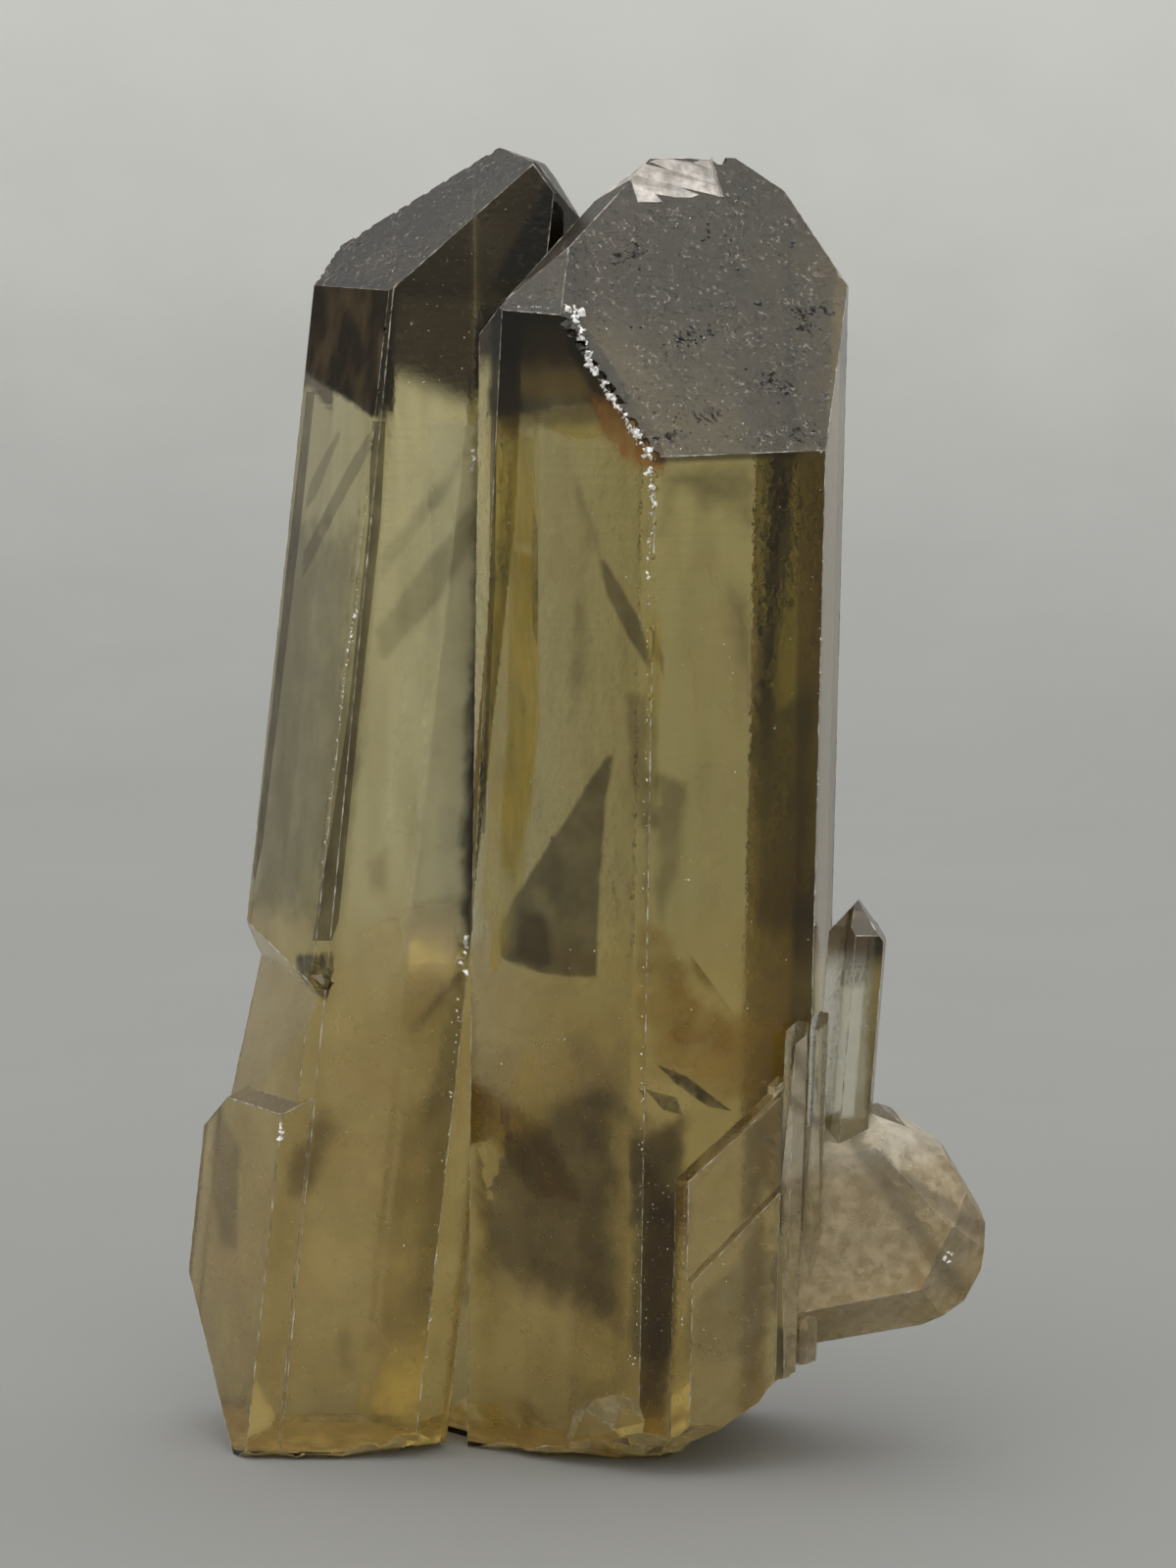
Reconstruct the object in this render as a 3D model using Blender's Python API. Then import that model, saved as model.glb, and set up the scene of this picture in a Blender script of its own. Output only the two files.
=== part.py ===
"""Smoky citrine cluster: quartz crystals grown together into one solid on a broken, flat-cut base.

Lengths are modelled in millimetres and turned into metres at the end, with +Z up and the
object's front towards -Y. A crystal's faces are set by compass angle: 0 is its front,
90 its right side, 180 its back, before the crystal is turned and leaned into place.
"""
import math
import random

import bmesh
import bpy
from mathutils import Matrix, Vector

NAME = "crystal_cluster"
MM = 0.001
SEED = 11
BLOCK = 240.0            # side of the raw block that every faceted form is cut from
FINEST = 0.0015          # edges shorter than this are closed up
ROOT = -3.0              # height where a form ends below the floor, before the flat is cut
TIP_SLOPE = 38.21        # quartz: angle from a prism face to the tip face above it, degrees

# Where each crystal's axis meets the floor (x, y), its turn about that axis, its lean to
# the right and its nod towards the front, in degrees
LEFT_AXIS = {"foot": (-13.5, 14.5, 0.0), "turn": -0.4, "lean": 6.4, "nod": -1.1}
RIGHT_AXIS = {"foot": (5.0, 11.0, 0.0), "turn": 22.9, "lean": 0.8, "nod": 5.4}
SMALL_AXIS = {"foot": (14.7, 8.9, 14.0), "turn": 21.0, "lean": 4.2, "nod": 1.0}
REAR_AXIS = {"foot": (-3.0, 17.4, 0.0), "turn": 12.0, "lean": 2.0, "nod": 0.5}
REAR_SIDE_AXIS = {"foot": (8.5, 16.6, 0.0), "turn": 30.0, "lean": 3.5, "nod": 2.0}
RIDGE_AXIS = {"foot": (11.45, 6.75, 0.0), "turn": 22.9, "lean": 1.4, "nod": 5.4}

LUMP_CENTRE = Vector((18.0, 9.5, 14.5))
SMALL_ROOT = 13.0        # height where the small crystal ends inside the lump

RIM_CELL = 1.1           # facet size of the broken rim
RIM_CELLS = (50, 30)     # facets of the rough sheet across and in depth
RIM_MIDDLE = 12.0        # its middle in y
RIM_SHAKE = 0.3          # how far its points wander, as a share of a facet
RIM_BOTTOM = -14.0
RIM_RISE = 0.5           # how fast the broken rim falls towards the flat, mm per mm
RIM_ROUGH = 0.28
# The broken rim seen along the front: x, y of the front surface, height above the flat
RIM_LINE = (
    (-23.0, 9.0, 0.3), (-15.0, 8.6, 0.3), (-8.5, 9.6, 1.4), (-5.3, 9.5, 0.8),
    (-2.3, 7.5, 1.1), (0.6, 5.5, 2.1), (3.2, 4.0, 2.6), (7.0, 5.2, 2.6),
)
UNDERCUT_START = 3.8     # x where the right side's underside leaves the flat
UNDERCUT_SLOPE = 0.82    # its rise per mm near the corner of the base
UNDERCUT_TOP = 6.2       # height where it turns shallow under the lump
UNDERCUT_SHALLOW = 0.16
REAR_RIM = (20.5, 0.9)   # y where the rear rim leaves the flat, and its rise per mm
DEEPEST = -3.0           # how far below the flat the rough sheet drops

# The scoop below the right crystal's apex: a ribbed, twisted roller laid against the tip face
SCOOP_RADIUS = 6.5
SCOOP_WIDTH = 5.5
SCOOP_RIBS = 72
RIB_DEPTH = 0.008
WAVES = 7
WAVE_DEPTH = 0.004
SCOOP_TWIST = -20.0      # turns the ribs until they run slanted
SCOOP_ACROSS = 1.2       # its middle, from the left end of the apex edge
SCOOP_DOWN = 1.35
SCOOP_CLEAR = 6.3        # its axis in front of the face
SCOOP_TILT = 3.0
APEX_PIT_ACROSS = 4.4
APEX_PIT_SIZE = (0.55, 0.4, 0.5)

BREAK_CENTRE = Vector((0.2, 3.75, 2.6))
BREAK_SIZE = (5.0, 2.2, 3.0)
BREAK_TURN = -36.9
BREAK_TILT = -20.0

LEDGE_PIT = Vector((-16.0, 9.2, 29.0))
LEDGE_PIT_SIZE = (1.2, 1.0, 0.7)
STRIP_RUN = Vector((-4.2, -0.7, -38.0))   # how far the chips run down the left bevel

# Chipped edges: how many bites and how large; and where they run down the central edge
SHOULDER_CHIPS = (13, 0.42)
WAIST_CHIPS = (9, 0.26)
CENTRE_CHIPS = (8, 0.17)
STRIP_CHIPS = (9, 0.2)
CHISEL_CHIPS = (8, 0.3)
CHISEL_LOW_CHIPS = (5, 0.25)
WAIST_RUN = 14.0
CENTRE_START = 16.0
CENTRE_END = 46.0

# Plates low on the right crystal: front, left and right reach, top height and top slope
PLATES = (
    (6.12, 0.1, 8.45, 23.9, 47.6), (6.5, 5.1, 7.1, 23.4, 47.6), (6.9, 5.15, 6.5, 18.0, 44.5),
)
RIDGES = ((0.0, 0.62, 26.6), (1.45, 0.5, 27.2))   # shift to the right, reach and height
REAR_SIZE = (5.2, 20.5)                           # reach and height of the rear growths
REAR_SIDE_SIZE = (3.9, 17.5)

# Etch pits on the broad tip face: place across and up the face, spread and number
PIT_CLUSTERS = (
    (2.0, 8.2, 0.8, 10), (10.9, 9.5, 0.5, 7), (8.1, 5.0, 0.8, 9), (2.1, 13.0, 0.8, 8),
    (2.4, 2.6, 1.1, 10), (8.4, 15.0, 0.8, 6),
)


def compass(angle, rise=0.0):
    """A unit vector at a compass angle, tilted up by rise degrees."""
    a, r = math.radians(angle), math.radians(rise)
    return Vector((math.sin(a) * math.cos(r), -math.cos(a) * math.cos(r), math.sin(r)))


def side(angle, reach, taper=0.0):
    """A prism face: its distance from the axis at the foot, and its lean inwards upwards."""
    return compass(angle, taper), compass(angle) * reach


def tip(angle, height, slope=TIP_SLOPE):
    """A tip face: the height at which its plane crosses the crystal's axis."""
    return compass(angle, slope), Vector((0.0, 0.0, height))


def axis_matrix(axis):
    return (Matrix.Translation(axis["foot"])
            @ Matrix.Rotation(math.radians(axis["nod"]), 4, "X")
            @ Matrix.Rotation(math.radians(axis["lean"]), 4, "Y")
            @ Matrix.Rotation(math.radians(axis["turn"]), 4, "Z"))


def placed(planes, matrix):
    """The same planes, moved from a crystal's own frame into the cluster's."""
    turn = matrix.to_3x3()
    return {name: (turn @ normal, matrix @ point) for name, (normal, point) in planes.items()}


def corner(planes, first, second, third):
    """The point where three faces of a crystal meet."""
    normals = Matrix([planes[name][0] for name in (first, second, third)])
    offsets = Vector([planes[name][0].dot(planes[name][1]) for name in (first, second, third)])
    return normals.inverted() @ offsets


# The fracture that takes off the lower left corner: its outward direction and a point on it
BROKEN_CORNER = (compass(258, -27.0), Vector((-23.2, 13.0, 5.0)))


def mesh_object(name, bm, collection):
    bmesh.ops.recalc_face_normals(bm, faces=bm.faces)
    mesh = bpy.data.meshes.new(name)
    bm.to_mesh(mesh)
    bm.free()
    obj = bpy.data.objects.new(name, mesh)
    collection.objects.link(obj)
    return obj


def guide(obj):
    """Marks a form that is only joined to the cluster or cut from it."""
    obj.hide_render = True
    obj.display_type = "WIRE"
    return obj


def block(name, planes, root=ROOT):
    """A closed flat-faced form: a large block cut by planes that face outwards.

    Each form ends at its own root height, so that no two of them share a plane there.
    """
    bm = bmesh.new()
    bmesh.ops.create_cube(bm, size=BLOCK)
    for normal, point in [*planes, (Vector((0.0, 0.0, -1.0)), Vector((0.0, 0.0, root)))]:
        geometry = bm.verts[:] + bm.edges[:] + bm.faces[:]
        cut = bmesh.ops.bisect_plane(bm, geom=geometry, dist=1e-5, plane_co=point,
                                     plane_no=normal, clear_outer=True)
        edges = [item for item in cut["geom_cut"] if isinstance(item, bmesh.types.BMEdge)]
        if len(edges) > 2:
            bmesh.ops.contextual_create(bm, geom=edges)
    return guide(mesh_object(name, bm, TOOLS))


def evaluated_mesh(obj):
    return bpy.data.meshes.new_from_object(obj.evaluated_get(bpy.context.evaluated_depsgraph_get()))


def boolean(target, tool, operation):
    """Joins or cuts the target with an exact Boolean, and drops the tool."""
    modifier = target.modifiers.new(operation.title(), "BOOLEAN")
    modifier.operation = operation
    modifier.solver = "EXACT"
    modifier.object = tool
    bpy.context.view_layer.update()
    result = evaluated_mesh(target)
    target.modifiers.clear()
    previous = target.data
    target.data = result
    bpy.data.meshes.remove(previous)
    bpy.data.objects.remove(tool)


def left_planes():
    """The left crystal: one dominant tip face cuts it to a chisel that rises to the right."""
    planes = placed({
        "front": side(0, 6.15), "right": side(60, 5.8), "rear_right": side(120, 2.7),
        "rear": side(180, 6.6), "rear_left": side(240, 10.6), "left": side(300, 8.0),
        "edge_strip": side(330, 7.72, -0.3),
        "tip_left": tip(300, 79.1), "tip_right": tip(60, 83.0), "tip_rear": tip(180, 77.4),
        "tip_shoulder": tip(84, 80.1, 42.0), "tip_top": tip(75, 78.1, 76.0),
    }, axis_matrix(LEFT_AXIS))
    planes["broken_corner"] = BROKEN_CORNER
    return planes


def right_planes():
    """The right crystal: a broad front tip face over two wide prism faces."""
    return placed({
        "front": side(0, 5.7), "right": side(56.5, 8.06), "rear_right": side(120, 9.65),
        "rear": side(180, 9.3), "rear_left": side(240, 12.25), "left": side(300, 6.9),
        "left_band": side(282, 10.17, 0.85),
        "tip_front": tip(0, 68.1), "tip_left": tip(300, 77.1), "tip_right": tip(56.5, 79.7),
        "tip_rear_left": tip(240, 82.3), "tip_strip": tip(256.4, 77.8, 49.7),
        "tip_rear": tip(180, 85.1), "tip_rear_right": tip(120, 87.0),
    }, axis_matrix(RIGHT_AXIS))


def left_foot_planes():
    """A lower parallel growth that widens the left crystal near the base."""
    planes = placed({
        "front": side(0, 6.05), "right": side(60, 3.0), "rear_right": side(120, 3.0),
        "rear": side(180, 6.0), "rear_left": side(240, 11.9), "left": side(300, 8.95),
        "tip_left": tip(296, 26.9, 52.0), "tip_rear_left": tip(236, 27.8, 48.0),
    }, axis_matrix(LEFT_AXIS))
    planes["broken_corner"] = BROKEN_CORNER
    return planes


def small_planes():
    """The small crystal that stands on the lump beside the right crystal."""
    return placed({
        "front": side(0, 1.42), "right": side(60, 1.5), "rear_right": side(120, 1.55),
        "rear": side(180, 1.7), "rear_left": side(240, 1.75), "left": side(300, 1.5),
        "tip_front": tip(0, 19.6), "tip_left": tip(300, 20.1), "tip_right": tip(60, 19.35),
        "tip_rear_left": tip(240, 20.0), "tip_rear": tip(180, 20.5),
        "tip_rear_right": tip(120, 19.9),
    }, axis_matrix(SMALL_AXIS))


def plate_planes(front, left, right, height, slope):
    """A thin parallel plate on the right crystal's front, with a slanted top."""
    return placed({
        "front": side(0, front), "right": side(60, right), "rear_right": side(120, 0.5),
        "rear": side(180, 0.5), "left": side(300, left), "rear_left": side(240, 3.0),
        "tip_left": tip(300, height, slope),
    }, axis_matrix(RIGHT_AXIS))


def ridge_planes(shift, reach, height):
    """One of the slim fluted ridges along the plates' right edge."""
    axis = dict(RIDGE_AXIS)
    across = compass(90 + RIDGE_AXIS["turn"])
    axis["foot"] = Vector(RIDGE_AXIS["foot"]) + across * shift
    planes = {"side_%d" % k: side(60 * k, reach) for k in range(6)}
    planes["tip_left"] = tip(300, height, 50.0)
    planes["tip_front"] = tip(0, height + 1.6, 55.0)
    return placed(planes, axis_matrix(axis))


def rear_planes(axis, reach, height):
    """A plain growth behind the main crystals."""
    planes = {"side_%d" % k: side(60 * k, reach * (0.86 + 0.1 * (k % 3))) for k in range(6)}
    for k in range(6):
        planes["tip_%d" % k] = tip(60 * k, height + 2.6 * (k % 2) + 0.7 * k)
    return placed(planes, axis_matrix(axis))


def lump():
    """The broken pale quartz lump: fracture faces about its centre (compass, rise, reach)."""
    faces = (
        (90, 57, 5.2), (88, 30, 4.7), (92, -5, 5.6), (90, -29, 6.2), (84, -62, 6.4),
        (70, -79, 6.5), (-4, 4, 4.0), (38, 34, 4.5), (48, -18, 4.9), (10, -48, 5.6),
        (62, 8, 4.9), (178, 6, 4.9), (140, 30, 5.0), (132, -24, 5.3), (-30, 62, 6.0),
        (210, 58, 6.4), (265, 20, 7.0), (30, 72, 5.9), (160, -60, 6.2),
    )
    planes = [(compass(a, r), LUMP_CENTRE + compass(a, r) * reach) for a, r, reach in faces]
    return block("lump", planes)


def notch():
    """The re-entrant step low on the left crystal: a recess with a slanted ledge above it."""
    matrix = axis_matrix(LEFT_AXIS)
    planes = placed({
        "inner": (-compass(293, 9.0), compass(293) * 11.7),
        "outer": side(291, 16.0),
        "lower": (-compass(300, 58.0), compass(291) * 8.6 + Vector((0.0, 0.0, 17.0))),
        "front": side(0, 6.9), "rear": side(180, 12.0),
    }, matrix)
    planes["ledge"] = (Vector((0.83, 0.29, 0.48)).normalized(), Vector((-20.4, 15.4, 31.9)))
    return block("notch", planes.values())


def chip(name, centre, size, turn, detail=1):
    """A small broken-out bite."""
    bm = bmesh.new()
    bmesh.ops.create_icosphere(bm, subdivisions=detail, radius=1.0)
    scale = Matrix.Diagonal((size[0], size[1], size[2], 1.0))
    bmesh.ops.transform(bm, matrix=Matrix.Translation(centre) @ turn @ scale, verts=bm.verts)
    return guide(mesh_object(name, bm, TOOLS))


def random_turn(rng):
    axis = Vector([rng.uniform(-1, 1) for _ in range(3)]).normalized()
    return Matrix.Rotation(rng.uniform(0, math.tau), 4, axis)


def edge_chips(cluster, rng, start, end, count, size):
    """Bites along an edge, larger and smaller, with uneven spacing."""
    for index in range(count):
        along = (index + rng.uniform(0.1, 0.9)) / count
        place = start.lerp(end, along)
        bite = [size * rng.uniform(0.55, 1.25) for _ in range(3)]
        boolean(cluster, chip("chip", place, bite, random_turn(rng)), "DIFFERENCE")


def tip_face(planes):
    """The broad tip face's own directions: across to the right, up the face, and outwards."""
    normal = planes["tip_front"][0]
    across = Vector((0.0, 0.0, 1.0)).cross(normal).normalized()
    return across, normal.cross(across), normal


def tip_pits(cluster, rng, planes, clusters):
    """Shallow three-sided etch pits on the broad tip face, grouped in clusters."""
    across, up, normal = tip_face(planes)
    origin = corner(planes, "tip_front", "front", "left")
    frame = Matrix((across, up, normal)).transposed().to_4x4()
    for east, north, spread, count in clusters:
        for _ in range(count):
            place = (origin + across * (east + rng.gauss(0, spread))
                     + up * (north + rng.gauss(0, spread * 0.7)) + normal * 0.05)
            width = rng.uniform(0.22, 0.5)
            bm = bmesh.new()
            bmesh.ops.create_cone(bm, cap_ends=True, segments=3, radius1=0.02, radius2=width,
                                  depth=width * 0.55)
            spin = Matrix.Rotation(rng.uniform(0, math.tau), 4, "Z")
            stretch = Matrix.Diagonal((1.0, rng.uniform(0.6, 1.3), 1.0, 1.0))
            bmesh.ops.transform(bm, matrix=Matrix.Translation(place) @ frame @ spin @ stretch,
                                verts=bm.verts)
            boolean(cluster, guide(mesh_object("pit", bm, TOOLS)), "DIFFERENCE")


def apex_chip(cluster, planes):
    """The conchoidal break below the right crystal's apex, and the small pit beside it."""
    across, up, normal = tip_face(planes)
    left_end = corner(planes, "tip_front", "tip_rear", "tip_strip")
    bm = bmesh.new()
    bmesh.ops.create_cone(bm, cap_ends=True, segments=SCOOP_RIBS, radius1=SCOOP_RADIUS,
                          radius2=SCOOP_RADIUS, depth=SCOOP_WIDTH)
    for vertex in bm.verts:
        angle = math.atan2(vertex.co.y, vertex.co.x)
        swell = (1.0 + RIB_DEPTH * math.cos(SCOOP_RIBS * angle / 2.0)
                 + WAVE_DEPTH * math.cos(WAVES * angle))
        twist = math.radians(SCOOP_TWIST) * (0.5 if vertex.co.z > 0.0 else -0.5)
        vertex.co.x = SCOOP_RADIUS * swell * math.cos(angle + twist)
        vertex.co.y = SCOOP_RADIUS * swell * math.sin(angle + twist)
    bmesh.ops.triangulate(bm, faces=bm.faces)
    frame = Matrix((normal, across.cross(normal), across)).transposed().to_4x4()
    place = left_end + across * SCOOP_ACROSS - up * SCOOP_DOWN + normal * SCOOP_CLEAR
    tilt = Matrix.Rotation(math.radians(SCOOP_TILT), 4, "X")
    bmesh.ops.transform(bm, matrix=Matrix.Translation(place) @ frame @ tilt, verts=bm.verts)
    boolean(cluster, guide(mesh_object("apex_scoop", bm, TOOLS)), "DIFFERENCE")
    pit = left_end + across * APEX_PIT_ACROSS
    boolean(cluster, chip("apex_pit", pit, APEX_PIT_SIZE, frame), "DIFFERENCE")


def front_break(cluster):
    """The shallow broken facet low on the right crystal's front, just above the rim."""
    turn = (Matrix.Rotation(math.radians(BREAK_TURN), 4, "Z")
            @ Matrix.Rotation(math.radians(BREAK_TILT), 4, "Y"))
    boolean(cluster, chip("front_break", BREAK_CENTRE, BREAK_SIZE, turn, 2), "DIFFERENCE")


def line_value(x, column):
    """Reads the rim line at x, straight between its points."""
    for low, high in zip(RIM_LINE, RIM_LINE[1:]):
        if x <= high[0]:
            share = max(0.0, (x - low[0]) / (high[0] - low[0]))
            return low[column] + (high[column] - low[column]) * share
    return RIM_LINE[-1][column]


def underside(x, y):
    """Height of the broken underside above the flat; below zero where the flat takes over."""
    front = line_value(x, 2) - RIM_RISE * (y - line_value(x, 1))
    steep = (x - UNDERCUT_START - 0.12 * y) * UNDERCUT_SLOPE
    shallow = UNDERCUT_TOP + (x - UNDERCUT_START - UNDERCUT_TOP / UNDERCUT_SLOPE) * UNDERCUT_SHALLOW
    rear = REAR_RIM[1] * (y - REAR_RIM[0])
    return max(front, min(steep, shallow), rear, DEEPEST)


def broken_rim(cluster, rng):
    """Breaks the base's rim with a rough sheet that drops below the flat further in."""
    columns, rows = RIM_CELLS
    bm = bmesh.new()
    bmesh.ops.create_grid(bm, x_segments=columns, y_segments=rows, size=0.5)
    for vertex in bm.verts:
        x = (vertex.co.x * columns + rng.uniform(-RIM_SHAKE, RIM_SHAKE)) * RIM_CELL
        y = (vertex.co.y * rows + rng.uniform(-RIM_SHAKE, RIM_SHAKE)) * RIM_CELL + RIM_MIDDLE
        rough = RIM_ROUGH * rng.uniform(-1.0, 1.0)
        vertex.co = (x, y, underside(x, y) + rough)
    bmesh.ops.triangulate(bm, faces=bm.faces)
    grown = bmesh.ops.extrude_face_region(bm, geom=bm.faces[:])
    for item in grown["geom"]:
        if isinstance(item, bmesh.types.BMVert):
            item.co.z = RIM_BOTTOM
    boolean(cluster, guide(mesh_object("rim", bm, TOOLS)), "DIFFERENCE")


def quartz_material():
    material = bpy.data.materials.new("smoky_quartz")
    material.use_nodes = True
    shader = material.node_tree.nodes["Principled BSDF"]
    shader.inputs["Base Color"].default_value = (0.36, 0.33, 0.17, 1.0)
    shader.inputs["Roughness"].default_value = 0.08
    shader.inputs["Metallic"].default_value = 0.0
    shader.inputs["IOR"].default_value = 1.544
    shader.inputs["Transmission Weight"].default_value = 0.9
    return material


def build():
    rng = random.Random(SEED)
    left = left_planes()
    right = right_planes()
    cluster = block(NAME, right.values())
    cluster.hide_render = False
    cluster.display_type = "TEXTURED"
    TOOLS.objects.unlink(cluster)
    PARTS.objects.link(cluster)

    joined_left = block("left_crystal", left.values(), ROOT - 0.4)
    boolean(joined_left, notch(), "DIFFERENCE")
    boolean(joined_left, block("left_foot", left_foot_planes().values(), ROOT - 0.8), "UNION")
    boolean(cluster, joined_left, "UNION")
    growths = [rear_planes(REAR_AXIS, *REAR_SIZE), rear_planes(REAR_SIDE_AXIS, *REAR_SIDE_SIZE)]
    growths += [plate_planes(*plate) for plate in PLATES]
    growths += [ridge_planes(*ridge) for ridge in RIDGES]
    for index, planes in enumerate(growths):
        boolean(cluster, block("growth", planes.values(), ROOT - 1.2 - 0.3 * index), "UNION")
    broken = lump()
    boolean(broken, block("small_crystal", small_planes().values(), SMALL_ROOT), "UNION")
    boolean(cluster, broken, "UNION")

    broken_rim(cluster, rng)
    floor = block("floor", [(Vector((0.0, 0.0, 1.0)), Vector((0.0, 0.0, 0.0)))], -BLOCK / 4.0)
    boolean(cluster, floor, "DIFFERENCE")

    damage(cluster, rng, left, right)
    finish(cluster)


def damage(cluster, rng, left, right):
    """The apex break, the chipped edges, the pit under the ledge and the etch pits."""
    apex_chip(cluster, right)
    front_break(cluster)
    shoulder = corner(right, "tip_front", "left", "tip_left")
    waist = corner(right, "tip_front", "front", "left")
    down = axis_matrix(RIGHT_AXIS).to_3x3() @ Vector((0.0, 0.0, -1.0))
    edge_chips(cluster, rng, shoulder, waist, *SHOULDER_CHIPS)
    edge_chips(cluster, rng, waist, waist + down * WAIST_RUN, *WAIST_CHIPS)
    edge_chips(cluster, rng, waist + down * CENTRE_START, waist + down * CENTRE_END, *CENTRE_CHIPS)
    strip_top = corner(left, "edge_strip", "left", "tip_left")
    edge_chips(cluster, rng, strip_top, strip_top + STRIP_RUN, *STRIP_CHIPS)
    pit_turn = Matrix.Rotation(math.radians(35.0), 4, "Y")
    boolean(cluster, chip("ledge_pit", LEDGE_PIT, LEDGE_PIT_SIZE, pit_turn), "DIFFERENCE")
    chisel_low = corner(left, "tip_left", "tip_rear", "rear_left")
    chisel_high = corner(left, "tip_left", "tip_rear", "tip_top")
    edge_chips(cluster, rng, chisel_low, chisel_high, *CHISEL_CHIPS)
    chisel_foot = corner(left, "tip_left", "rear_left", "left")
    edge_chips(cluster, rng, chisel_foot, chisel_low, *CHISEL_LOW_CHIPS)
    tip_pits(cluster, rng, right, PIT_CLUSTERS)


def drop_crumbs(bm):
    """Deletes the crumbs that the cuts left loose beside the largest piece."""
    pieces = []
    waiting = set(bm.verts)
    while waiting:
        piece = []
        reached = [waiting.pop()]
        while reached:
            vertex = reached.pop()
            piece.append(vertex)
            for edge in vertex.link_edges:
                other = edge.other_vert(vertex)
                if other in waiting:
                    waiting.remove(other)
                    reached.append(other)
        pieces.append(piece)
    pieces.sort(key=len)
    for piece in pieces[:-1]:
        bmesh.ops.delete(bm, geom=piece, context="VERTS")


def finish(cluster):
    """Cleans the mesh, puts the origin under the middle of the box, and turns to metres."""
    bm = bmesh.new()
    bm.from_mesh(cluster.data)
    drop_crumbs(bm)
    bmesh.ops.triangulate(bm, faces=bm.faces)
    bmesh.ops.dissolve_degenerate(bm, edges=bm.edges, dist=FINEST)
    low = Vector([min(v.co[axis] for v in bm.verts) for axis in range(3)])
    high = Vector([max(v.co[axis] for v in bm.verts) for axis in range(3)])
    shift = Vector((-(low.x + high.x) / 2.0, -(low.y + high.y) / 2.0, -low.z))
    bmesh.ops.transform(bm, matrix=Matrix.Scale(MM, 4) @ Matrix.Translation(shift), verts=bm.verts)
    bm.to_mesh(cluster.data)
    bm.free()
    cluster.data.name = NAME
    cluster.data.materials.clear()
    cluster.data.materials.append(quartz_material())


for item in list(bpy.data.objects):
    bpy.data.objects.remove(item, do_unlink=True)
PARTS = bpy.data.collections.new("smoky_citrine_cluster")
TOOLS = bpy.data.collections.new("joined_and_cut_forms")
bpy.context.scene.collection.children.link(PARTS)
bpy.context.scene.collection.children.link(TOOLS)
build()
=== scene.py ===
"""Looks of the smoky citrine cluster: clear smoky quartz with color zones, veils and chips.

Lengths in the tables are millimetres. Pixel places are those of the 1200 x 1600 view, and each
is turned into a point of the object by following the sight line, bent where it enters the quartz.
"""
import math
import random

import bmesh
import bpy
from mathutils import Matrix, Vector, noise
from mathutils.bvhtree import BVHTree


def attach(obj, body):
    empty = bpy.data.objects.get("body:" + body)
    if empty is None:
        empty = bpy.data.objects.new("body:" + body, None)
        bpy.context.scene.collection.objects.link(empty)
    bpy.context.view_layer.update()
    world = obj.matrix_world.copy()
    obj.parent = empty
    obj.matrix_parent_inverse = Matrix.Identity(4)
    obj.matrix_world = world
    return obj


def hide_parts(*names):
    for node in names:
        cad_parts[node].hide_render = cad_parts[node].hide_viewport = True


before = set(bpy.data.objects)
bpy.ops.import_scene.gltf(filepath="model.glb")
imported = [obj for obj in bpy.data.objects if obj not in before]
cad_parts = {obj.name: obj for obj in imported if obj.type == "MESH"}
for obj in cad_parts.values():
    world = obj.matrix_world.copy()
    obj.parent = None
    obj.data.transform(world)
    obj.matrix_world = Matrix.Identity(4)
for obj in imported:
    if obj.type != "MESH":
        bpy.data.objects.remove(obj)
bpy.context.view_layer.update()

MM = 0.001
NODE = "crystal_cluster"
SEED = 5
QUARTZ_IOR = 1.544

# The view: distance to the target, height angle, and pixels a millimetre at the target
VIEW_WIDTH, VIEW_HEIGHT = 1200, 1600
VIEW_DISTANCE = 250.0
VIEW_ELEVATION = 6.0
VIEW_SCALE = 18.0
VIEW_TARGET = Vector((0.461, -10.395, 41.4))
SENSOR = 24.0
CLIP_NEAR, CLIP_FAR = 0.005, 10.0      # metres

# Crystal axes in the object's frame as foot, turn, lean and nod, and the quartz tip slope
SHIFT = Vector((0.461, -10.395, 0.0))
TIP_SLOPE = 38.21
LEFT_AXIS = ((-13.5, 14.5, 0.0), -0.4, 6.4, -1.1)
RIGHT_AXIS = ((5.0, 11.0, 0.0), 22.9, 0.8, 5.4)
SMALL_AXIS = ((14.7, 8.9, 14.0), 21.0, 4.2, 1.0)


def compass(angle, rise=0.0):
    """A direction at an angle round the axis, 0 to the front, and raised by another."""
    a, r = math.radians(angle), math.radians(rise)
    return Vector((math.sin(a) * math.cos(r), -math.cos(a) * math.cos(r), math.sin(r)))


def axis_matrix(axis):
    foot, turn, lean, nod = axis
    return (Matrix.Translation(Vector(foot) + SHIFT)
            @ Matrix.Rotation(math.radians(nod), 4, "X")
            @ Matrix.Rotation(math.radians(lean), 4, "Y")
            @ Matrix.Rotation(math.radians(turn), 4, "Z"))


def side(axis, angle, reach, taper=0.0):
    """A prism face as its outward normal and a point on it."""
    matrix = axis_matrix(axis)
    return matrix.to_3x3() @ compass(angle, taper), matrix @ (compass(angle) * reach)


def tip(axis, angle, height, slope=TIP_SLOPE):
    """A tip face as its outward normal and the point where it cuts the axis."""
    matrix = axis_matrix(axis)
    return matrix.to_3x3() @ compass(angle, slope), matrix @ Vector((0.0, 0.0, height))


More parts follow.
